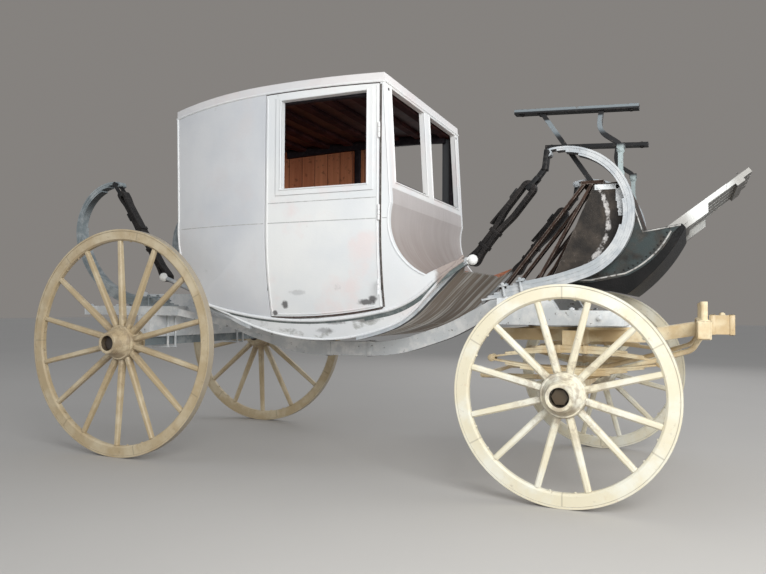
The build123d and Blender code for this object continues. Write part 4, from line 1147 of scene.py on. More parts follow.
class PaintShop:
    """Every finish of the carriage, mixed once."""

    def __init__(self) -> None:
        """Mix the finishes that do not depend on a wheel."""
        door_stains = (
            Stain(1.512, 0.908, 0.060, 0.020), Stain(1.548, 0.925, 0.030, 0.020),
            Stain(1.010, 0.893, 0.026, 0.026), Stain(0.940, 0.846, 0.020, 0.018),
            Stain(1.100, 0.960, 0.060, 0.018, 0.25),
        )
        rocker_stains = (
            Stain(1.090, 0.806, 0.110, 0.014, 0.7), Stain(1.300, 0.800, 0.090, 0.016, 0.55),
            Stain(1.480, 0.812, 0.100, 0.014, 0.5), Stain(1.240, 0.752, 0.060, 0.020, 0.45),
        )
        balls = (at(2.074, 0.530, 1.122), at(0.124, 0.530, 1.057))
        # Darker grey, used on the rear springs as painted shade for the dim rear. In this tuple and the next,
        # the last colour is painted shade for undersides.
        grey = ((0.205, 0.240, 0.255), (0.360, 0.390, 0.400), (0.130, 0.105, 0.090), (0.020, 0.020, 0.021))
        white_iron = (
            (0.375, 0.400, 0.420), (0.520, 0.530, 0.535), (0.230, 0.200, 0.180), (0.030, 0.030, 0.032),
        )
        finishes = (
            WhitePrimer("white_primer", Lining.SIDES),
            # Darker tones for the quarter: painted shade where the body curves away from the light.
            WhitePrimer(
                "quarter_primer", Lining.SIDES, cool=(0.590, 0.605, 0.635), warm=(0.680, 0.685, 0.695),
                rosy=(0.640, 0.615, 0.620),
            ),
            WhitePrimer(
                "flank_primer", Lining.SIDES, grime=0.1, boards=POST_LINING, cool=(0.755, 0.770, 0.780),
                warm=(0.805, 0.812, 0.810), rosy=(0.780, 0.755, 0.750), tail_x=1.890,
            ),
            WhitePrimer(
                "door_primer", Lining.SIDES, stains=door_stains, cool=(0.735, 0.750, 0.760),
                warm=(0.820, 0.820, 0.805), rosy=(0.810, 0.680, 0.660), post_x=1.515,
            ),
            WhitePrimer("rocker_primer", Lining.SIDES, grime=0.75, stains=rocker_stains),
            WhitePrimer("front_primer", Lining.FRONT, boards=POST_LINING),
            # The stern takes the same darker tones: painted shade on the rear panel.
            WhitePrimer("stern_primer", Lining.REAR, cool=(0.590, 0.605, 0.635), warm=(0.680, 0.685, 0.695)),
            WhitePrimer(
                "roof_primer", Lining.CEILING, grime=0.3, boards=CEILING_BOARDS, cool=(0.660, 0.655, 0.665),
                warm=(0.760, 0.730, 0.720), rosy=(0.700, 0.620, 0.610),
            ),
            BarePanel(
                "chest_panel", (0.250, 0.190, 0.160), (0.500, 0.465, 0.455), (0.580, 0.550, 0.535),
                (1.06, 1.50), 0.15, INNER_BOARDS,
            ),
            BarePanel(
                "prow_panel", (0.260, 0.215, 0.180), (0.340, 0.275, 0.220), (0.720, 0.705, 0.680),
                (0.85, 1.10), 0.95, INNER_BOARDS,
            ),
            PlainBoards("ceiling_boards", CEILING_BOARDS, 1),
            PlainBoards("seat_boards", INNER_BOARDS, 1),
            PlainBoards("dark_boards", SEAT_BOARDS, 1, (0.300, 0.260, 0.230)),
            PlainBoards("boot_boards", BOOT_BOARDS, 2, (0.420, 0.390, 0.360)),
            PrimedIron("spring_primer", *white_iron, wear=0.1),
            # Rear springs in the darker grey: painted shade.
            PrimedIron("rear_spring_primer", *grey, wear=0.2),
            PrimedIron("loop_primer", *white_iron, wear=0.4, balls=balls),
            PrimedIron("perch_primer", (0.640, 0.665, 0.680), (0.820, 0.825, 0.820), *grey[2:], wear=0.40),
            PrimedIron("axle_primer", *grey, wear=0.3, greasy_y=0.800),
            OldLeather(
                "brace_leather", (0.022, 0.019, 0.018), (0.008, 0.007, 0.007), (0.090, 0.075, 0.070), 0.35
            ),
            OldLeather(
                "boot_leather", (0.070, 0.056, 0.045), (0.022, 0.019, 0.017), (0.330, 0.290, 0.260), 0.35,
                90.0, rub=at(2.425, 0.0, 1.310), rub_radius=0.290,
            ),
            # The toe's black leather, made darker still as painted shade on its underside.
            OldLeather(
                "toe_leather", (0.008, 0.007, 0.007), (0.003, 0.003, 0.003), (0.070, 0.050, 0.040), 0.1, 90.0
            ),
            CoachCream(
                "carriage_cream", cream=(0.600, 0.445, 0.245), pale=(0.800, 0.700, 0.490), greasy_y=0.800
            ),
            SeatRailPaint("seat_rail_paint", at(2.771, 0.416, 1.660), at(2.264, 0.416, 1.870)),
            FootboardPaint("footboard_paint", at(2.960, 0.0, 1.257), math.radians(38.4), 0.470),
            PlainCoat("joint_line", (0.440, 0.435, 0.430), (0.600, 0.595, 0.590), 0.7),
            # Dark shut lines: partly the bare rebate, partly painted shadow that widens the door's gap.
            PlainCoat("shut_line", (0.085, 0.072, 0.066), (0.180, 0.160, 0.150), 0.7),
            PlainCoat("sill_shadow", (0.110, 0.130, 0.128), (0.190, 0.205, 0.200), 0.7),
            # Near-black for the inside rails and stops: partly their dark wood, partly painted shade inside
            # the cabin.
            PlainCoat("rail_wood", (0.016, 0.013, 0.017), (0.034, 0.028, 0.032), 0.6),
            PlainCoat("black_iron", (0.014, 0.014, 0.015), (0.045, 0.042, 0.040), 0.45, 0.2),
            PlainCoat("worn_piping", (0.480, 0.465, 0.445), (0.070, 0.060, 0.055), 0.6),
            PlainCoat("bracket_white", (0.780, 0.800, 0.810), (0.560, 0.580, 0.590), 0.5),
        )
        self.paints = {finish.name: finish.build() for finish in finishes}

    def __getitem__(self, name: str) -> bpy.types.Material:
        """A finish by its name."""
        return self.paints[name]

    def wheel_cream(
        self, name: str, middle: Vector, radius: float, felloes: int, tints: tuple[Colour, Colour]
    ) -> bpy.types.Material:
        """Mix the cream of one wheel, whose pattern turns about its own middle.

        Args:
            name: The wheel's name.
            middle: The middle of the wheel.
            radius: The wheel's radius.
            felloes: How many felloes its rim has.
            tints: Its paint, and the paler paint of its rubbed places; the rear wheels' are darkened as
                painted shade.

        Returns:
            The material.
        """
        cream, pale = tints
        made = CoachCream(f"{name}_cream", middle, radius, felloes, cream=cream, pale=pale).build()
        self.paints[made.name] = made
        return made


@dataclass
class PackedNodes:
    """The solids that keep their own shape and only get a better finish."""

    shop: PaintShop
    by_slot: tuple[Names, ...] = (
        ("inner_wood", "ceiling_boards"), ("grey_iron", "spring_primer"), ("grey_primer", "perch_primer"),
        ("dark_boards", "dark_boards"), ("seat_iron", "seat_rail_paint"),
        ("footboard_wood", "footboard_paint"), ("cream_paint", "carriage_cream"),
        ("boot_leather", "boot_leather"), ("brace_leather", "brace_leather"),
        ("bare_panel", "prow_panel"), ("white_primer", "white_primer"),
    )
    by_node: tuple[Names, ...] = (
        ("door", "door_primer"), ("rocker", "rocker_primer"), ("quarter", "quarter_primer"),
        ("flank", "flank_primer"), ("front_window_frame", "front_primer"), ("rear_panel", "stern_primer"),
        ("roof", "roof_primer"), ("front_panel", "chest_panel"), ("front_body_loops", "loop_primer"),
        ("rear_body_loops", "loop_primer"), ("seat_box", "seat_boards"), ("boot_floor", "toe_leather"),
        ("boot_front", "boot_boards"), ("rear_axle", "axle_primer"), ("rear_c_springs", "rear_spring_primer"),
    )

    def dress(self) -> None:
        """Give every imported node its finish."""
        slots, nodes = dict(self.by_slot), dict(self.by_node)
        for part in frame["record"]["subparts"]:
            node = part["node"]
            either_side = node.removeprefix("left_").removeprefix("right_")
            self.paint(node, self.shop[nodes.get(either_side, slots[part["material_slot"]])])

    @staticmethod
    def paint(node: str, paint: bpy.types.Material) -> None:
        """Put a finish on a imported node."""
        piece = frame["nodes"][node]
        if not piece.material_slots:
            piece.data.materials.append(paint)
        for slot in piece.material_slots:
            slot.material = paint
        log.info("%s wears %s", node, paint.name)


@dataclass(frozen=True)
class Batten:
    """An upright strip inside the cabin: its middle on the left side, its size and its rounding."""

    middle: Triple
    size: Triple
    soft: float


@dataclass
class BodyTrim:
    """Beads, joints, shut lines, hinges and inside rails of the coach body."""

    shop: PaintShop
    hull: Hull
    sill_bead: float = 0.0085
    sill_lift: float = 0.002
    grooves: tuple[Pair, Pair] = ((0.0, 0.009), (1.480, 0.022))
    groove_faces: Pair = (-0.002, 0.0012)
    groove_lap: float = 0.001
    edge_bead: float = 0.0065
    stern_inset: float = 0.002
    face_bead: float = 0.0045
    eave_bead: float = 0.0065
    eave_stand: float = 0.0015
    window_bead: float = 0.0050
    door_bead: float = 0.0040
    line_wide: float = 0.0045
    line_faces: Pair = (-0.001, 0.0006)
    line_inset: float = 0.006
    shut_wide: float = 0.010
    shut_faces: Pair = (-0.002, 0.0007)
    shut_z: Pair = (0.884, 2.040)
    foot_shut: Pair = (-0.0085, 0.007)
    belt_z: float = 1.342
    belts: tuple[Pair, Pair] = ((0.262, 0.898), (1.620, 1.655))
    rail_z: float = 1.452
    door_foot: tuple[Pair, Pair, Pair] = ((0.912, 0.828), (1.250, 0.836), (1.600, 0.884))
    door_rim: float = 0.010
    door_lift: float = 0.012
    door_top: float = 2.035
    light_x: Pair = (1.014, 1.530)
    light_z: Pair = (1.528, 2.014)
    light_y: float = 0.633
    front_light_y: Pair = (0.050, 0.545)
    front_light_z: Pair = (1.540, 2.034)
    light_stop: Triple = (0.016, 0.485, 0.009)
    cant_rail: Triple = (0.052, -0.016, 0.016)
    rail_drop: float = 0.030
    rail_inset: float = 0.022
    post_stops: tuple[Batten, ...] = (
        Batten((1.612, 0.579, 1.500), (0.042, 0.022, 1.060), 0.003),
        Batten((1.620, 0.592, 1.600), (0.022, 0.012, 0.860), 0.002),
        Batten((0.900, 0.579, 1.500), (0.042, 0.022, 1.060), 0.003),
        Batten((0.892, 0.592, 1.600), (0.022, 0.012, 0.860), 0.002),
    )
    hinge_x: float = 1.6025
    hinge_y: float = 0.634
    hinge_zs: Triple = (0.985, 1.372, 1.800)
    knuckle: Pair = (0.0065, 0.026)
    knuckle_gap: float = 0.001

    def dress(self) -> None:
        """Add the body's trim."""
        self._sill()
        self._edges()
        self._eaves()
        self._front_lights()
        self._inside()
        for side in Side:
            self._joints(side)
            self._door(side)
            self._hinges(side)

    def _front_x(self, z: float) -> float:
        """Where the front wall's face lies at a height."""
        top, foot = self.hull.roof[2], self.hull.brow
        return top[0] + (top[1] - z) * (foot[0] - top[0]) / (top[1] - foot[1])

    def _sill_line(self) -> list[Pair]:
        """The moulding line between panels and rockers."""
        hull = self.hull
        rear = arc(*hull.sill, steps=24)
        rise = arc(*hull.sill_rise, steps=12)[1:]
        return rear + rise + straight(hull.sill_rise[2], hull.sill_tip, 6)[1:]

    def _sill(self) -> None:
        """The bead along the sill and the dark groove under it, a strip of painted shadow."""
        bead, groove = Form(), Form()
        line = self._sill_line()
        for side in Side:
            bead.sweep(half_round(self.sill_bead), self.hull.run(shifted(line, dz=self.sill_lift), side))
            for start, wide in self.grooves:
                ahead = [(x, z) for x, z in line if x > start]
                lowered = shifted(ahead, dz=-(self.sill_bead + wide / 2 - self.groove_lap))
                groove.sweep(flat_bar(wide, *self.groove_faces), self.hull.run(lowered, side))
        bead.finish("sill_beads", self.shop["flank_primer"], "white_primer")
        groove.finish("sill_grooves", self.shop["sill_shadow"], "white_primer")

    def _edges(self) -> None:
        """Beads down the stern, along the rockers' lower edge and round the front corners."""
        hull, r, thin = self.hull, self.edge_bead, self.face_bead
        eave, brow = (shifted([hull.roof[end]], dz=-hull.roof_thick)[0] for end in (0, 2))
        stern = straight((eave[0] + self.stern_inset, eave[1]), hull.stern_top, 8)
        stern += arc(hull.stern_top, hull.stern, hull.keel_rear, 18)[1:]
        keel = arc(hull.keel_rear, hull.keel, hull.keel_front, 24)
        keel += arc(hull.keel_front, hull.prow_bend, hull.prow_foot, 8)[1:]
        keel += straight(hull.prow_foot, hull.prow, 6)[1:]
        face = straight(brow, hull.brow, 8) + arc(hull.brow, hull.chest, hull.lap, 14)[1:]
        edges = Form()
        for side in Side:
            for line, bead, dx, dz in ((stern, r, r, 0.004), (keel, r, 0.0, r), (face, thin, -thin, -0.002)):
                edges.sweep(half_round(bead), hull.run(shifted(line, dx, dz), side))
        edges.finish("edge_beads", self.shop["flank_primer"], "white_primer")

    def _eaves(self) -> None:
        """The drip moulding round the roof's lower edge."""
        drop = self.hull.roof_thick - self.eave_bead
        section = half_round(self.eave_bead)
        eaves = Form()
        for side in Side:
            eaves.sweep(section, self.hull.run(self.hull.eave(drop), side))
        for corner, out in ((self.hull.roof[0], -FORWARD), (self.hull.roof[2], FORWARD)):
            z = corner[1] - drop
            x = self._front_x(z) if out.x > 0 else corner[0] + self.eave_stand
            half = abs(self.hull.skin(x, z, Side.LEFT)[0].y)
            eaves.sweep(section, run_of([at(x, -half, z), at(x, half, z)], [out, out]))
        eaves.finish("eave_beads", self.shop["white_primer"], "white_primer")

    def _window(self, form: Form, middle: Vector, out: Vector, size: Pair) -> None:
        """A bead on the four edges of an opening.

        Args:
            form: The piece to add it to.
            middle: The middle of the opening.
            out: The way the wall faces.
            size: The opening's width and height.
        """
        wide = UP.cross(out).normalized()
        tall = out.cross(wide).normalized()
        for run, step, length, reach in ((wide, tall, *size), (tall, wide, size[1], size[0])):
            for sign in BOTH:
                centre = middle + step * (sign * (reach / 2 + self.window_bead))
                half = run * (length / 2 + 2 * self.window_bead)
                form.sweep(half_round(self.window_bead), run_of([centre - half, centre + half], [out, out]))

    def _front_lights(self) -> None:
        """Beads round the two front lights, and the small bars left on their sills, near-black partly as
        painted shade.
        """
        beads, stops = Form(), Form()
        low, high = self.front_light_z
        near, far = self.front_light_y
        top, foot = self.hull.roof[2], self.hull.brow
        out = Vector((1.0, 0.0, (foot[0] - top[0]) / (top[1] - foot[1]))).normalized()
        for side in Side:
            y, z = side.value * (near + far) / 2, (low + high) / 2
            self._window(beads, at(self._front_x(z), y, z), out, (far - near, high - low))
            thick, _, tall = self.light_stop
            stops.block(level(self._front_x(low) - thick, y, low + tall / 2), self.light_stop, 0.002)
        beads.finish("front_light_beads", self.shop["front_primer"], "white_primer")
        stops.finish("light_stops", self.shop["rail_wood"], "inner_wood")

    def _inside(self) -> None:
        """Dark rails under the ceiling along both sides, and the stops beside the door's posts; their
        near-black is partly dark wood and partly painted shade.
        """
        rails = Form()
        line = arc(*self.hull.roof, steps=20)[2:-1]
        drop = self.hull.roof_thick + self.rail_drop
        inset = self.hull.wall + self.rail_inset
        for side in Side:
            found = [self.hull.skin(x, z - drop, side) for x, z in line]
            points = [point - out * inset for point, out in found]
            rails.sweep(flat_bar(*self.cant_rail), run_of(points, [out for _, out in found]))
            for batten in self.post_stops:
                x, y, z = batten.middle
                rails.block(level(x, side.value * y, z), batten.size, batten.soft)
        rails.finish("cant_rails", self.shop["rail_wood"], "inner_wood")

    def _joints(self, side: Side) -> None:
        """Panel joints that show through the primer, and the dark shut lines beside the door, partly bare
        rebate and partly painted shadow of its gap.
        """
        hull = self.hull
        lines, shuts = Form(), Form()
        for start, end in self.belts:
            joint = straight((start, self.belt_z), (end, self.belt_z), 14)
            lines.sweep(flat_bar(self.line_wide, *self.line_faces), hull.run(joint, side))
        front_x = hull.door[1] + 0.005 + self.shut_wide / 2
        upright = straight((front_x, self.shut_z[0]), (front_x, self.shut_z[1]), 20)
        shuts.sweep(flat_bar(self.shut_wide, *self.shut_faces), hull.run(upright, side))
        drop, wide = self.foot_shut
        foot = shifted(arc(*self.door_foot, steps=16), dz=drop)
        shuts.sweep(flat_bar(wide, *self.shut_faces), hull.run(foot, side))
        lines.finish(f"{side.word}_panel_joints", self.shop["joint_line"], "white_primer")
        shuts.finish(f"{side.word}_shut_lines", self.shop["shut_line"], "white_primer")

    def _door(self, side: Side) -> None:
        """The door's own beads, joints and window bead."""
        hull, body = self.hull, f"{side.word}_door"
        rear_x, front_x = hull.door[0] + self.door_rim, hull.door[1] - self.door_rim
        beads, lines = Form(), Form()
        foot = shifted(arc(*self.door_foot, steps=16), dz=self.door_lift)[1:-1]
        rear = straight((rear_x, foot[0][1]), (rear_x, self.door_top), 16)
        front = straight((front_x, foot[-1][1]), (front_x, self.door_top), 16)
        for line in (foot, rear, front):
            beads.sweep(half_round(self.door_bead), hull.run(line, side))
        middle = at(sum(self.light_x) / 2, side.value * self.light_y, sum(self.light_z) / 2)
        size = (self.light_x[1] - self.light_x[0], self.light_z[1] - self.light_z[0])
        self._window(beads, middle, ACROSS * side.value, size)
        for z in (self.belt_z, self.rail_z):
            joint = straight((rear_x + self.line_inset, z), (front_x - self.line_inset, z), 4)
            lines.sweep(flat_bar(self.line_wide, *self.line_faces), hull.run(joint, side))
        beads.finish(f"{body}_beads", self.shop["door_primer"], "white_primer", body)
        lines.finish(f"{body}_joints", self.shop["joint_line"], "white_primer", body)

    def _hinges(self, side: Side) -> None:
        """Three hinges, each with its middle knuckle on the door."""
        radius, long = self.knuckle
        fixed, moving = Form(), Form()
        y = side.value * self.hinge_y
        for z in self.hinge_zs:
            for shift, form in ((-1.0, fixed), (0.0, moving), (1.0, fixed)):
                foot = level(self.hinge_x, y, z + shift * (long + self.knuckle_gap) - long / 2)
                form.pin(foot, radius, long, sides=16, soft=0.001)
        door = f"{side.word}_door"
        fixed.finish(f"{side.word}_hinge_knuckles", self.shop["white_primer"], "white_primer")
        moving.finish(f"{door}_knuckles", self.shop["door_primer"], "white_primer", door)


@dataclass
class WheelDress:
    """Hoops, tyre bolts and paint of one wheel."""

    shop: PaintShop
    end: str
    side: Side
    felloes: int
    tints: tuple[Colour, Colour]
    front_band: tuple[Pair, ...] = ((0.0610, 0.060), (0.0700, 0.060), (0.0612, 0.0912), (0.0550, 0.0912))
    lip: tuple[Pair, ...] = ((0.0440, 0.084), (0.0600, 0.084), (0.0600, 0.0935), (0.0465, 0.0935))
    spoke_bands: tuple[tuple[Pair, ...], ...] = (
        ((0.0940, -0.0030), (0.1030, -0.0030), (0.0975, 0.0090), (0.0890, 0.0090)),
        ((0.0890, -0.0770), (0.0975, -0.0770), (0.1030, -0.0650), (0.0940, -0.0650)),
    )
    heel_band: tuple[Pair, ...] = ((0.0690, -0.1325), (0.0775, -0.1325), (0.0815, -0.1110), (0.0720, -0.1110))
    tyre_thick: float = 0.011
    felloe_deep: float = 0.056
    joint_reach: float = 0.055

    @property
    def body(self) -> str:
        """The wheel's body."""
        return f"{self.end}_{self.side.word}_wheel"

    def dress(self) -> None:
        """Paint the wheel and add its ironwork."""
        low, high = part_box(f"{self.end}_{self.side.word}_rim")
        middle, radius = (low + high) / 2, (high.z - low.z) / 2
        paint = self.shop.wheel_cream(self.body, middle, radius, self.felloes, self.tints)
        for part in ("rim", "wheel_centre"):
            PackedNodes.paint(f"{self.end}_{self.side.word}_{part}", paint)
        self._bands(middle, paint)
        self._tyre_bolts(middle, radius, paint)

    def _bands(self, middle: Vector, paint: bpy.types.Material) -> None:
        """Iron hoops shrunk on the nave."""
        place = stand(middle, ACROSS * self.side.value)
        bands = Form()
        for profile in (self.front_band, self.lip, *self.spoke_bands, self.heel_band):
            bands.lathe(place, profile)
        bands.finish(f"{self.body}_nave_hoops", paint, "cream_paint", self.body)

    def _tyre_bolts(self, middle: Vector, radius: float, paint: bpy.types.Material) -> None:
        """Nuts of the tyre bolts inside the rim, one each side of every felloe joint."""
        bolts = Form()
        inner = radius - self.tyre_thick - self.felloe_deep
        for felloe in range(self.felloes):
            for sign in BOTH:
                angle = math.tau * (felloe + 0.5) / self.felloes + sign * self.joint_reach / inner
                out, _ = sloped(angle)
                bolts.bolt(seat(middle + out * inner, -out, ACROSS), Nut.TYRE)
        bolts.finish(f"{self.body}_tyre_bolts", paint, "cream_paint", self.body)


@dataclass
class SpringDress:
    """Foot clamps and eye bolts of one pair of C-springs."""

    shop: PaintShop
    end: str
    eye: Pair
    paint: str
    clamps: tuple[tuple[Pair, float, int], ...]
    spring_y: float = 0.470
    leaf: float = 0.010
    leaf_wide: float = 0.056
    plate: Triple = (0.104, 0.008, 0.036)
    stud_r: float = 0.007
    stud_out: float = 0.041
    eye_gap: float = 0.001

    def dress(self) -> None:
        """Add the springs' fittings."""
        paint, clamps, bolts = self.shop[self.paint], Form(), Form()
        for foot, slope, leaves in self.clamps:
            self._clamp(clamps, foot, slope, leaves * self.leaf)
        clamps.both_sides().finish(f"{self.end}_spring_clamps", paint, "grey_iron")
        middle = at(self.eye[0], self.spring_y, self.eye[1])
        reach = self.leaf_wide / 2 + self.eye_gap
        for sign in BOTH:
            bolts.bolts([middle + ACROSS * (sign * reach)], ACROSS * sign, Nut.BEAM)
        bolts.both_sides().finish(f"{self.end}_eye_bolts", paint, "grey_iron")

    def _clamp(self, form: Form, foot: Pair, slope: float, pile: float) -> None:
        """A plate bolted down over the spring's foot.

        Args:
            form: The piece to add it to.
            foot: Where the lowest leaf lies.
            slope: How steeply it lies there.
            pile: How thick the leaves are together.
        """
        along, out = sloped(slope)
        top = at(foot[0], self.spring_y, foot[1]) + out * pile
        thick = self.plate[1]
        form.block(seat(top + out * (thick / 2), along, out), self.plate, 0.002)
        for sign in BOTH:
            edge = top + ACROSS * (sign * self.stud_out)
            form.pin(stand(edge - out * pile, out), self.stud_r, pile, sides=12)
            form.bolt(seat(edge + out * thick, out, along), Nut.CLAMP)


@dataclass
class BraceDress:
    """One pair of leather braces: links from the spring's eye, then a doubled, buckled strap."""

    shop: PaintShop
    end: str
    chain: tuple[Pair, ...]
    ball: Pair
    ply: float
    head_r: float
    ball_r: float
    closing: Pair
    buckle: float
    flap: Pair
    keepers: tuple[float, ...]
    brace_y: float = 0.500
    wide: float = 0.058
    slack: float = 0.0015
    opening: Pair = (0.86, 1.0)
    steps: int = 30
    turn_steps: int = 10
    buckle_bar: Pair = (0.010, 0.009)
    buckle_half: float = 0.024
    buckle_lift: float = 0.004
    flap_lift: float = 0.005
    flap_tilt: float = -0.05
    tongue: Triple = (0.008, 0.006, 0.050)
    keeper: Pair = (0.020, 0.004)
    link: Pair = (0.024, 0.009)
    link_pin_r: float = 0.0125

    def dress(self) -> None:
        """Build the brace and let it stand for its plain solid."""
        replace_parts(self._strap(), f"{self.end}_braces")
        self._fittings()
        self._links()

    def _joints(self) -> list[Vector]:
        """The links' pins, from the spring's eye to the strap's head."""
        return [at(x, self.brace_y, z) for x, z in self.chain]

    def _axis(self) -> tuple[Vector, Vector, Vector, float]:
        """The strap's head, its direction down to the ball, the way its face looks and its length."""
        top, low = self._joints()[-1], at(self.ball[0], self.brace_y, self.ball[1])
        down = (low - top).normalized()
        return top, down, ACROSS.cross(down).normalized(), (low - top).length

    def _spot(self, share: float, lift: float = 0.0) -> Vector:
        """A point along the strap, lifted off its middle."""
        top, down, out, length = self._axis()
        return top + down * (length * share) + out * lift

    def _half_gap(self, share: float) -> float:
        """Half the distance between the middles of the two plies at a share of the length."""
        closed = self.ply / 2 + self.slack
        wide = (self.head_r - closed) * (1 - smooth(share, *self.closing))
        return closed + wide + (self.ball_r - closed) * smooth(share, *self.opening)

    def _strap(self) -> bpy.types.Object:
        """The doubled strap as one loop of leather round the head pin and the ball."""
        top, down, out, _ = self._axis()
        shares = [step / self.steps for step in range(self.steps + 1)]
        upper = [self._spot(share, self._half_gap(share)) for share in shares]
        lower = [self._spot(share, -self._half_gap(share)) for share in reversed(shares)]
        round_ball = self._half_turn(self._spot(1.0), out, down, self.ball_r)
        round_head = self._half_turn(top, -out, -down, self.head_r)
        line = upper + round_ball + lower + round_head + upper[:1]
        places = []
        for index, point in enumerate(line):
            ahead = line[index + 1] if index + 1 < len(line) else line[1]
            along = ahead - (line[index - 1] if index else line[-2])
            places.append(seat(point, along, ACROSS.cross(along)))
        strap = Form()
        strap.sweep(flat_bar(self.wide, -self.ply / 2, self.ply / 2), places, closed=True)
        leather = self.shop["brace_leather"]
        return strap.both_sides().finish(f"{self.end}_brace_straps", leather, "brace_leather")

    def _half_turn(self, middle: Vector, start: Vector, over: Vector, radius: float) -> list[Vector]:
        """Points of a half circle, without its two ends."""
        angles = [math.pi * i / self.turn_steps for i in range(1, self.turn_steps)]
        return [middle + start * (radius * math.cos(a)) + over * (radius * math.sin(a)) for a in angles]

    def _fittings(self) -> None:
        """The buckle with its tongue, the strap's free end, and the keepers that hold both plies."""
        _, down, out, length = self._axis()
        iron, leather = Form(), Form()
        deep, thick = self.buckle_bar
        face = self._half_gap(self.buckle) + self.ply / 2
        place = seat(self._spot(self.buckle, face + self.buckle_lift), down, out)
        for sign in BOTH:
            cross = Matrix.Translation((0.0, 0.0, sign * self.buckle_half))
            upright = Matrix.Translation((sign * (self.wide / 2 + 0.001), 0.0, 0.0))
            iron.block(place @ cross, (self.wide + deep, deep, thick), 0.003)
            iron.block(place @ upright, (thick, deep, 2 * self.buckle_half + 0.006), 0.003)
        iron.block(place @ Matrix.Translation((0.0, 0.005, 0.008)), self.tongue, 0.002)
        start, end = self.flap
        middle = (start + end) / 2
        lift = self._half_gap(middle) + self.ply / 2 + self.flap_lift
        flap = seat(self._spot(middle, lift), down, out) @ Matrix.Rotation(self.flap_tilt, 4, "X")
        leather.block(flap, (self.wide - 0.006, 2 * self.flap_lift, length * (end - start)), 0.003)
        for share in self.keepers:
            inside = (self.wide - 0.001, 2 * self._half_gap(share) + self.ply + 0.002)
            leather.hoop(seat(self._spot(share), down, out), inside, *self.keeper)
        iron.both_sides().finish(f"{self.end}_brace_buckles", self.shop["black_iron"], "grey_iron")
        leather.both_sides().finish(
            f"{self.end}_brace_keepers", self.shop["brace_leather"], "brace_leather"
        )

    def _links(self) -> None:
        """Black links and pins between the spring's eye and the strap."""
        iron = Form()
        joints = self._joints()
        broad, thick = self.link
        for number, (start, end) in enumerate(zip(joints, joints[1:])):
            run = end - start
            reach = self.wide / 2 - (0.014 if number % 2 else 0.004)
            for sign in BOTH:
                middle = start + run / 2 + ACROSS * (sign * reach)
                iron.block(seat(middle, run, ACROSS), (broad, thick, run.length + 0.022), 0.003)
        for joint in joints:
            iron.pin(stand(joint - ACROSS * (self.wide / 2), ACROSS), self.link_pin_r, self.wide, 14, 0.002)
        iron.both_sides().finish(f"{self.end}_shackles", self.shop["black_iron"], "grey_iron")


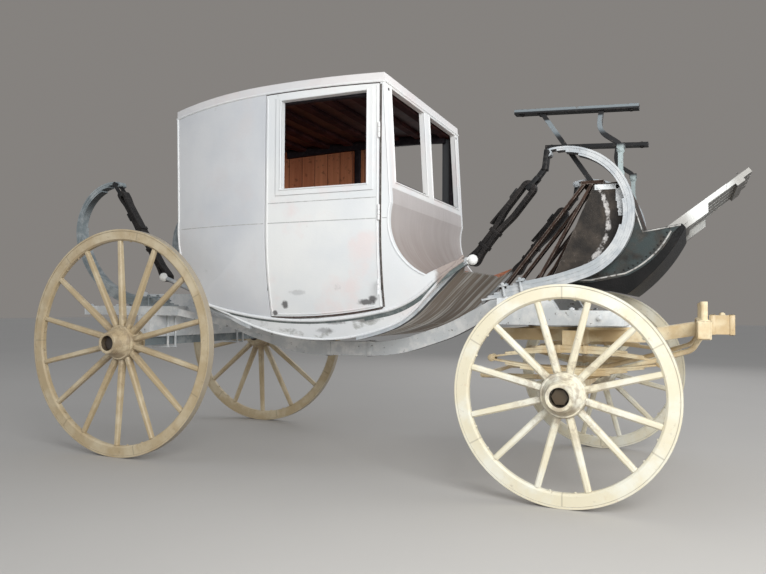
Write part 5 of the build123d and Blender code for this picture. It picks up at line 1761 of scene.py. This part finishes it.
@dataclass
class RunningGear:
    """Bolts, clips, plates and bands of the perch, the beds, the transom and the fore carriage."""

    shop: PaintShop
    wheelbase: float = 2.550
    bed_top: float = 0.880
    bed_face: float = 0.823
    axle_low: float = 0.639
    clip_ys: Pair = (0.335, 0.405)
    clip_x: float = 0.055
    clip_leg: Pair = (0.0075, 0.196)
    clip_plate: Triple = (0.128, 0.020, 0.010)
    clip_washer: Triple = (0.128, 0.024, 0.006)
    platform_bolts: tuple[Pair, ...] = ((-0.517, 0.470), (-0.300, 0.470), (-0.517, 0.190), (-0.200, 0.470))
    perch_hoops: tuple[Pair, ...] = ((1.000, 0.626), (1.280, 0.630))
    perch_slope: float = 0.015
    perch_bolts: tuple[Pair, ...] = ((0.0, 0.9655), (-0.500, 0.9655), (2.235, 0.9575))
    transom_top: float = 0.872
    transom_bolts: tuple[Pair, ...] = (
        (2.235, 0.170), (2.550, 0.170), (2.745, 0.170), (2.550, 0.470), (2.745, 0.470),
    )
    side_bolts: tuple[Triple, ...] = ((2.420, 0.502, 0.836), (2.680, 0.502, 0.836))
    end_bolts: tuple[Triple, ...] = ((2.790, 0.060, 0.836), (2.790, 0.320, 0.836))
    king_washer: tuple[Pair, ...] = ((0.0195, 0.0), (0.040, 0.0), (0.040, 0.004), (0.0195, 0.004))
    bar_x: float = 3.127
    bar_z: float = 0.790
    bar_top: float = 0.037
    bar_bands: Pair = (0.580, 0.405)
    bar_bolts: Pair = (0.100, 0.330)
    rollers: Pair = (0.250, 0.560)
    flange: tuple[Pair, ...] = ((0.0155, 0.0), (0.026, 0.0), (0.023, 0.007), (0.0155, 0.007))
    flange_tack: Pair = (0.036, 0.007)
    socket_bands: Pair = (3.176, 3.263)
    socket_z: float = 0.804
    socket_bolt: Pair = (3.220, 0.852)
    leaf_y: float = 0.450
    leaf_half: float = 0.400
    leaf_z: Pair = (0.560, 0.704)
    leaf_clip: float = 0.062

    def dress(self) -> None:
        """Add the ironwork of the running gear."""
        self._rear()
        self._perch()
        self._transom()
        self._king_nut()
        self._splinter_bar()
        self._pole_socket()
        self._under_springs()

    def _rear(self) -> None:
        """U-bolts round the rear axle and bed, and bolts in the platform."""
        iron = Form()
        for y in self.clip_ys:
            for sign in BOTH:
                x = sign * self.clip_x
                iron.pin(stand(at(x, y, self.axle_low - 0.012), UP), *self.clip_leg, sides=12)
                iron.bolts([at(x, y, self.bed_face)], UP, Nut.CLIP)
            iron.block(level(0.0, y, self.axle_low - 0.014), self.clip_plate, 0.002)
            iron.block(level(0.0, y, self.bed_face + 0.0035), self.clip_washer, 0.0015)
        iron.bolts([at(x, y, self.bed_top) for x, y in self.platform_bolts], UP, Nut.PLATE)
        iron.both_sides().finish("rear_clips", self.shop["perch_primer"], "grey_primer")

    def _perch(self) -> None:
        """Iron hoops round the perch and bolts through it at the beds."""
        iron = Form()
        along, _ = sloped(self.perch_slope)
        for x, z in self.perch_hoops:
            iron.hoop(seat(at(x, 0.0, z), along, UP), (0.061, 0.086), 0.030, 0.005)
        iron.bolts([at(x, 0.0, z) for x, z in self.perch_bolts], UP, Nut.PERCH)
        iron.finish("perch_hoops", self.shop["perch_primer"], "grey_primer")

    def _transom(self) -> None:
        """Bolts where the transom's beams cross, and in its side and front faces."""
        iron = Form()
        iron.bolts([at(x, y, self.transom_top) for x, y in self.transom_bolts], UP, Nut.BEAM)
        iron.bolts([at(*spot) for spot in self.side_bolts], ACROSS, Nut.PLATE)
        iron.bolts([at(*spot) for spot in self.end_bolts], FORWARD, Nut.PLATE)
        iron.both_sides().finish("transom_bolts", self.shop["perch_primer"], "grey_primer")

    def _king_nut(self) -> None:
        """The washer under the king bolt's nut."""
        nut = Form()
        nut.lathe(stand(at(self.wheelbase, 0.0, self.transom_top + 0.0005), UP), self.king_washer)
        nut.finish("king_washer", self.shop["carriage_cream"], "cream_paint", "fore_carriage")

    def _splinter_bar(self) -> None:
        """The splinter bar's bands, its bolts and its rollers' flanges."""
        bar, x, z = Form(), self.bar_x, self.bar_z
        top = z + self.bar_top
        for y in self.bar_bands:
            bar.hoop(seat(at(x, y, z), ACROSS, UP), (0.0505, 0.0745), 0.026, 0.004)
        for y in self.rollers:
            bar.lathe(stand(at(x, y, top), UP), self.flange, 24)
            for sign in BOTH:
                bar.tack(stand(at(x, y + sign * self.flange_tack[0], top), UP), self.flange_tack[1])
        bar.bolts([at(x + 0.025, y, z) for y in self.bar_bolts], FORWARD, Nut.PLATE)
        bar.both_sides().finish("splinter_bands", self.shop["carriage_cream"], "cream_paint", "fore_carriage")

    def _pole_socket(self) -> None:
        """Bands round the pole's socket, and the bolt that keeps the pole in it."""
        socket = Form()
        for x in self.socket_bands:
            socket.hoop(seat(at(x, 0.0, self.socket_z), FORWARD, UP), (0.0965, 0.0965), 0.022, 0.004)
        x, z = self.socket_bolt
        socket.bolts([at(x, 0.0, z)], UP, Nut.BEAM)
        socket.finish("pole_socket_bands", self.shop["carriage_cream"], "cream_paint", "fore_carriage")

    def _under_springs(self) -> None:
        """Centre clips and end bolts of the elliptic springs."""
        iron, y = Form(), self.leaf_y
        low, high = self.leaf_z
        for shift in BOTH:
            for z in (low + 0.018, high - 0.018):
                clip = at(self.wheelbase + shift * self.leaf_clip, y, z)
                iron.hoop(seat(clip, FORWARD, UP), (0.052, 0.038), 0.018, 0.004)
        for end in BOTH:
            for sign in BOTH:
                head = at(self.wheelbase + end * (self.leaf_half - 0.006), y + sign * 0.025, (low + high) / 2)
                iron.bolts([head], ACROSS * sign, Nut.EYE)
        iron.both_sides().finish(
            "under_spring_clips", self.shop["carriage_cream"], "cream_paint", "fore_carriage"
        )


@dataclass
class BootDress:
    """Piping, tacks and brackets of the boot under the coachman's seat."""

    shop: PaintShop
    half: float = 0.425
    piping: float = 0.0040
    tip: Pair = (2.998, 1.232)
    middle: Pair = (2.920, 1.122)
    low: Pair = (2.796, 1.038)
    heel: Pair = (2.640, 1.008)
    rear: Pair = (2.440, 1.006)
    top_front: Pair = (2.798, 1.492)
    knee: Pair = (2.874, 1.249)
    toe: Pair = (3.040, 1.276)
    tack_r: float = 0.0045
    tack_pitch: float = 0.032
    shelf: tuple[Pair, Pair] = ((2.722, 1.466), (0.140, 0.026))
    bracket_x: float = 2.772
    bracket: tuple[Triple, ...] = ((0.046, 1.395, 1.476), (0.034, 1.360, 1.400), (0.022, 1.325, 1.365))
    bracket_thick: float = 0.006
    studs: tuple[Pair, ...] = ((2.672, 1.466), (2.772, 1.450), (2.772, 1.345))

    def dress(self) -> None:
        """Add the boot's edges."""
        lower = arc(self.tip, self.middle, self.low, 12) + straight(self.low, self.heel, 4)[1:]
        lower += straight(self.heel, self.rear, 4)[1:]
        self._strip("boot_piping", shifted(lower, -0.006, 0.011), self.piping)
        front = straight(self.top_front, self.knee, 4) + straight(self.knee, self.toe, 3)[1:]
        self._strip("boot_top_edge", shifted(front, -0.005, -0.006), self.piping * 0.8)
        self._tacks(shifted(lower, -0.012, 0.026))
        self._brackets()

    def _strip(self, name: str, line: Sequence[Pair], radius: float) -> None:
        """A worn round edging along a line of the side panels."""
        edging = Form()
        points = [at(x, self.half, z) for x, z in line]
        edging.sweep(half_round(radius), run_of(points, [ACROSS] * len(points)))
        edging.both_sides().finish(name, self.shop["worn_piping"], "boot_leather")

    def _brackets(self) -> None:
        """The white iron brackets under the seat's stanchions."""
        iron, thick = Form(), self.bracket_thick
        y = self.half + thick / 2
        (x, z), (long, tall) = self.shelf
        iron.block(level(x, y, z), (long, thick, tall), 0.002)
        for wide, low, high in self.bracket:
            iron.block(level(self.bracket_x, y, (low + high) / 2), (wide, thick, high - low), 0.002)
        iron.bolts([at(x, self.half + thick, z) for x, z in self.studs], ACROSS, Nut.STUD)
        iron.both_sides().finish("boot_brackets", self.shop["bracket_white"], "seat_iron")

    def _tacks(self, line: Sequence[Pair]) -> None:
        """Tacks beside the piping."""
        tacks = Form()
        points = [at(x, self.half + 0.0002, z) for x, z in line]
        for start, end in zip(points, points[1:]):
            count = max(1, round((end - start).length / self.tack_pitch))
            for index in range(count):
                tacks.tack(stand(start.lerp(end, index / count), ACROSS), self.tack_r)
        tacks.both_sides().finish("boot_tacks", self.shop["black_iron"], "boot_leather")


@dataclass
class BoxSeatDress:
    """Bolts and collars of the coachman's seat irons, and the footboard's screws."""

    shop: PaintShop
    iron_y: float = 0.416
    half_thick: float = 0.011
    bolts: tuple[Pair, ...] = (
        (2.395, 1.858), (2.684, 1.846), (2.771, 1.640), (2.771, 1.530), (2.300, 1.868), (2.820, 1.841),
    )
    collar: Pair = (2.771, 1.660)
    foot: Pair = (2.960, 1.257)
    slope: float = math.radians(38.4)
    half: float = 0.400
    slats: int = 6
    gap: float = 0.016
    screws: Pair = (0.075, 0.400)
    screw_r: float = 0.006
    spread: float = 0.022
    tapered: float = 0.2

    def dress(self) -> None:
        """Add the fittings."""
        irons = Form()
        for x, z in self.bolts:
            for sign in BOTH:
                irons.bolts([at(x, self.iron_y + sign * self.half_thick, z)], ACROSS * sign, Nut.SEAT)
        x, z = self.collar
        irons.hoop(seat(at(x, self.iron_y, z), UP, FORWARD), (0.023, 0.031), 0.026, 0.004)
        irons.both_sides().finish("seat_bolts", self.shop["seat_rail_paint"], "seat_iron")
        self._screws()

    def _screws(self) -> None:
        """Screw heads on the footboard's slats, two abreast except where the outer slats taper."""
        screws = Form()
        along, out = sloped(self.slope)
        foot = at(self.foot[0], 0.0, self.foot[1])
        pitch = (2 * self.half + self.gap) / self.slats
        for slat in range(self.slats):
            middle = -self.half + slat * pitch + (pitch - self.gap) / 2
            for reach in self.screws:
                spread = self.spread if min(abs(middle), reach) < self.tapered else 0.0
                for sign in BOTH:
                    head = foot + along * reach + ACROSS * (middle + sign * spread)
                    screws.tack(stand(head, out), self.screw_r)
        screws.finish("footboard_screws", self.shop["footboard_paint"], "footboard_wood")


@dataclass(frozen=True)
class Softbox:
    """A square lamp that looks at the body's middle and isn't seen itself."""

    name: str
    place: Triple
    size: float
    power: float
    colour: Colour
    target: Triple = (0.0, 0.0, 1.1)

    def build(self) -> None:
        """Hang the lamp."""
        data = bpy.data.lights.new(self.name, "AREA")
        data.shape, data.size, data.energy, data.color = "SQUARE", self.size, self.power, self.colour
        lamp = bpy.data.objects.new(self.name, data)
        aim = (Vector(self.target) - Vector(self.place)).to_track_quat("-Z", "Y")
        lamp.matrix_world = Matrix.Translation(self.place) @ aim.to_matrix().to_4x4()
        lamp.visible_camera = False
        bpy.context.scene.collection.objects.link(lamp)


@dataclass
class Studio:
    """A pale floor, soft light and the camera where the photographer stood."""

    eye: Triple = (1.7279, -3.9338, 0.8810)
    yaw: float = math.radians(-23.523)
    pitch: float = math.radians(1.658)
    roll: float = math.radians(0.354)
    lens: float = 33.04
    sensor: float = 36.0
    clip: Pair = (0.05, 200.0)
    floor_half: float = 40.0
    floor_tone: Colour = (0.500, 0.480, 0.455)
    floor_cloud: float = 0.93
    backdrop: Colour = (0.235, 0.222, 0.210)
    sky: Colour = (0.94, 0.965, 1.0)
    sky_strength: float = 0.42
    lamps: tuple[Softbox, ...] = (
        Softbox("key_softbox", (2.9, -3.7, 2.5), 2.4, 185.0, (0.985, 1.0, 1.0)),
        Softbox("side_softbox", (-6.0, -5.0, 3.2), 4.0, 50.0, (0.96, 0.98, 1.0)),
        Softbox("front_softbox", (7.5, 1.0, 3.0), 4.0, 170.0, (0.985, 0.995, 1.0)),
        Softbox("far_softbox", (0.5, 6.5, 4.5), 5.0, 100.0, (0.97, 0.98, 1.0)),
    )

    def build(self) -> None:
        """Set up the stage."""
        bpy.context.scene.view_settings.view_transform = "Standard"
        self._floor()
        self._world()
        for lamp in self.lamps:
            lamp.build()
        self._camera()

    def _floor(self) -> None:
        """A plain pale floor with a faint cloud in it."""
        mesh = bmesh.new()
        bmesh.ops.create_grid(mesh, x_segments=1, y_segments=1, size=self.floor_half)
        data = bpy.data.meshes.new("studio_floor")
        mesh.to_mesh(data)
        mesh.free()
        floor = bpy.data.objects.new("studio_floor", data)
        bpy.context.scene.collection.objects.link(floor)
        shade = Shade("studio_floor")
        darker = tuple(part * self.floor_cloud for part in self.floor_tone)
        colour = shade.mix(shade.noise(0.8, 3.0), self.floor_tone, darker)
        data.materials.append(shade.dress(colour, 0.8))

    def _world(self) -> None:
        """Even light from all round, with a plain backdrop for the camera."""
        world = bpy.data.worlds.new("studio_light")
        bpy.context.scene.world = world
        world.use_nodes = True
        wires = Wiring(world.node_tree)
        light = wires.node("ShaderNodeBackground", sockets={"Color": self.sky, "Strength": self.sky_strength})
        plain = wires.node("ShaderNodeBackground", sockets={"Color": self.backdrop})
        rays = wires.node("ShaderNodeLightPath")
        ends = {0: rays.outputs["Is Camera Ray"], 1: light.outputs[0], 2: plain.outputs[0]}
        pick = wires.node("ShaderNodeMixShader", sockets=ends)
        wires.node("ShaderNodeOutputWorld", sockets={"Surface": pick.outputs[0]})

    def _camera(self) -> None:
        """The camera at the photograph's place and angle."""
        data = bpy.data.cameras.new("camera")
        data.sensor_fit, data.sensor_width, data.lens = "HORIZONTAL", self.sensor, self.lens
        data.clip_start, data.clip_end = self.clip
        across = math.cos(self.pitch)
        ahead = Vector((math.sin(self.yaw) * across, math.cos(self.yaw) * across, math.sin(self.pitch)))
        flat_right = Vector((math.cos(self.yaw), -math.sin(self.yaw), 0.0))
        right = flat_right * math.cos(self.roll) + flat_right.cross(ahead) * math.sin(self.roll)
        place = Matrix((right, right.cross(ahead), -ahead)).transposed().to_4x4()
        place.translation = self.eye
        camera = bpy.data.objects.new("camera", data)
        camera.matrix_world = place
        bpy.context.scene.collection.objects.link(camera)
        bpy.context.scene.camera = camera


# The rear wheels' cream is darker than the front's: painted shade for the dim rear.
REAR_SHADED_TINTS = ((0.510, 0.395, 0.235), (0.640, 0.540, 0.370))
FRONT_TINTS = ((0.745, 0.680, 0.510), (0.790, 0.770, 0.665))
FRONT_EYE = (2.4399, 1.6380)
REAR_EYE = (-0.2913, 1.6566)
FRONT_SLOPE = math.radians(10)


def main() -> None:
    """Build the studio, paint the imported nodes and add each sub-assembly's dress."""
    Studio().build()
    shop = PaintShop()
    wheels = [
        WheelDress(shop, end, side, felloes, tints)
        for end, felloes, tints in (("rear", 7, REAR_SHADED_TINTS), ("front", 6, FRONT_TINTS))
        for side in Side
    ]
    front_springs = SpringDress(
        shop, "front", FRONT_EYE, paint="spring_primer",
        clamps=(((2.318, 0.9520), FRONT_SLOPE, 6), ((2.232, 0.9368), FRONT_SLOPE, 5)),
    )
    rear_springs = SpringDress(
        shop, "rear", REAR_EYE, paint="rear_spring_primer",
        clamps=(((-0.010, 0.8803), 0.0, 5), ((0.072, 0.8803), 0.0, 3)),
    )
    front_braces = BraceDress(
        shop, "front", (FRONT_EYE, (2.4300, 1.5620), (2.3910, 1.5110), (2.3510, 1.4690)), (2.074, 1.122),
        ply=0.021, head_r=0.026, ball_r=0.021, closing=(0.30, 0.60), buckle=0.14, flap=(0.20, 0.56),
        keepers=(0.60, 0.80),
    )
    rear_braces = BraceDress(
        shop, "rear", (REAR_EYE, (-0.2350, 1.5850)), (0.124, 1.057),
        ply=0.015, head_r=0.017, ball_r=0.020, closing=(0.04, 0.14), buckle=0.26, flap=(0.30, 0.50),
        keepers=(0.42, 0.66),
    )
    for group in (
        PackedNodes(shop), BodyTrim(shop, Hull()), *wheels, front_springs, rear_springs, front_braces,
        rear_braces, RunningGear(shop), BootDress(shop), BoxSeatDress(shop),
    ):
        group.dress()


if __name__ == "__main__":
    logging.basicConfig(level=logging.INFO, format="%(message)s")
    main()
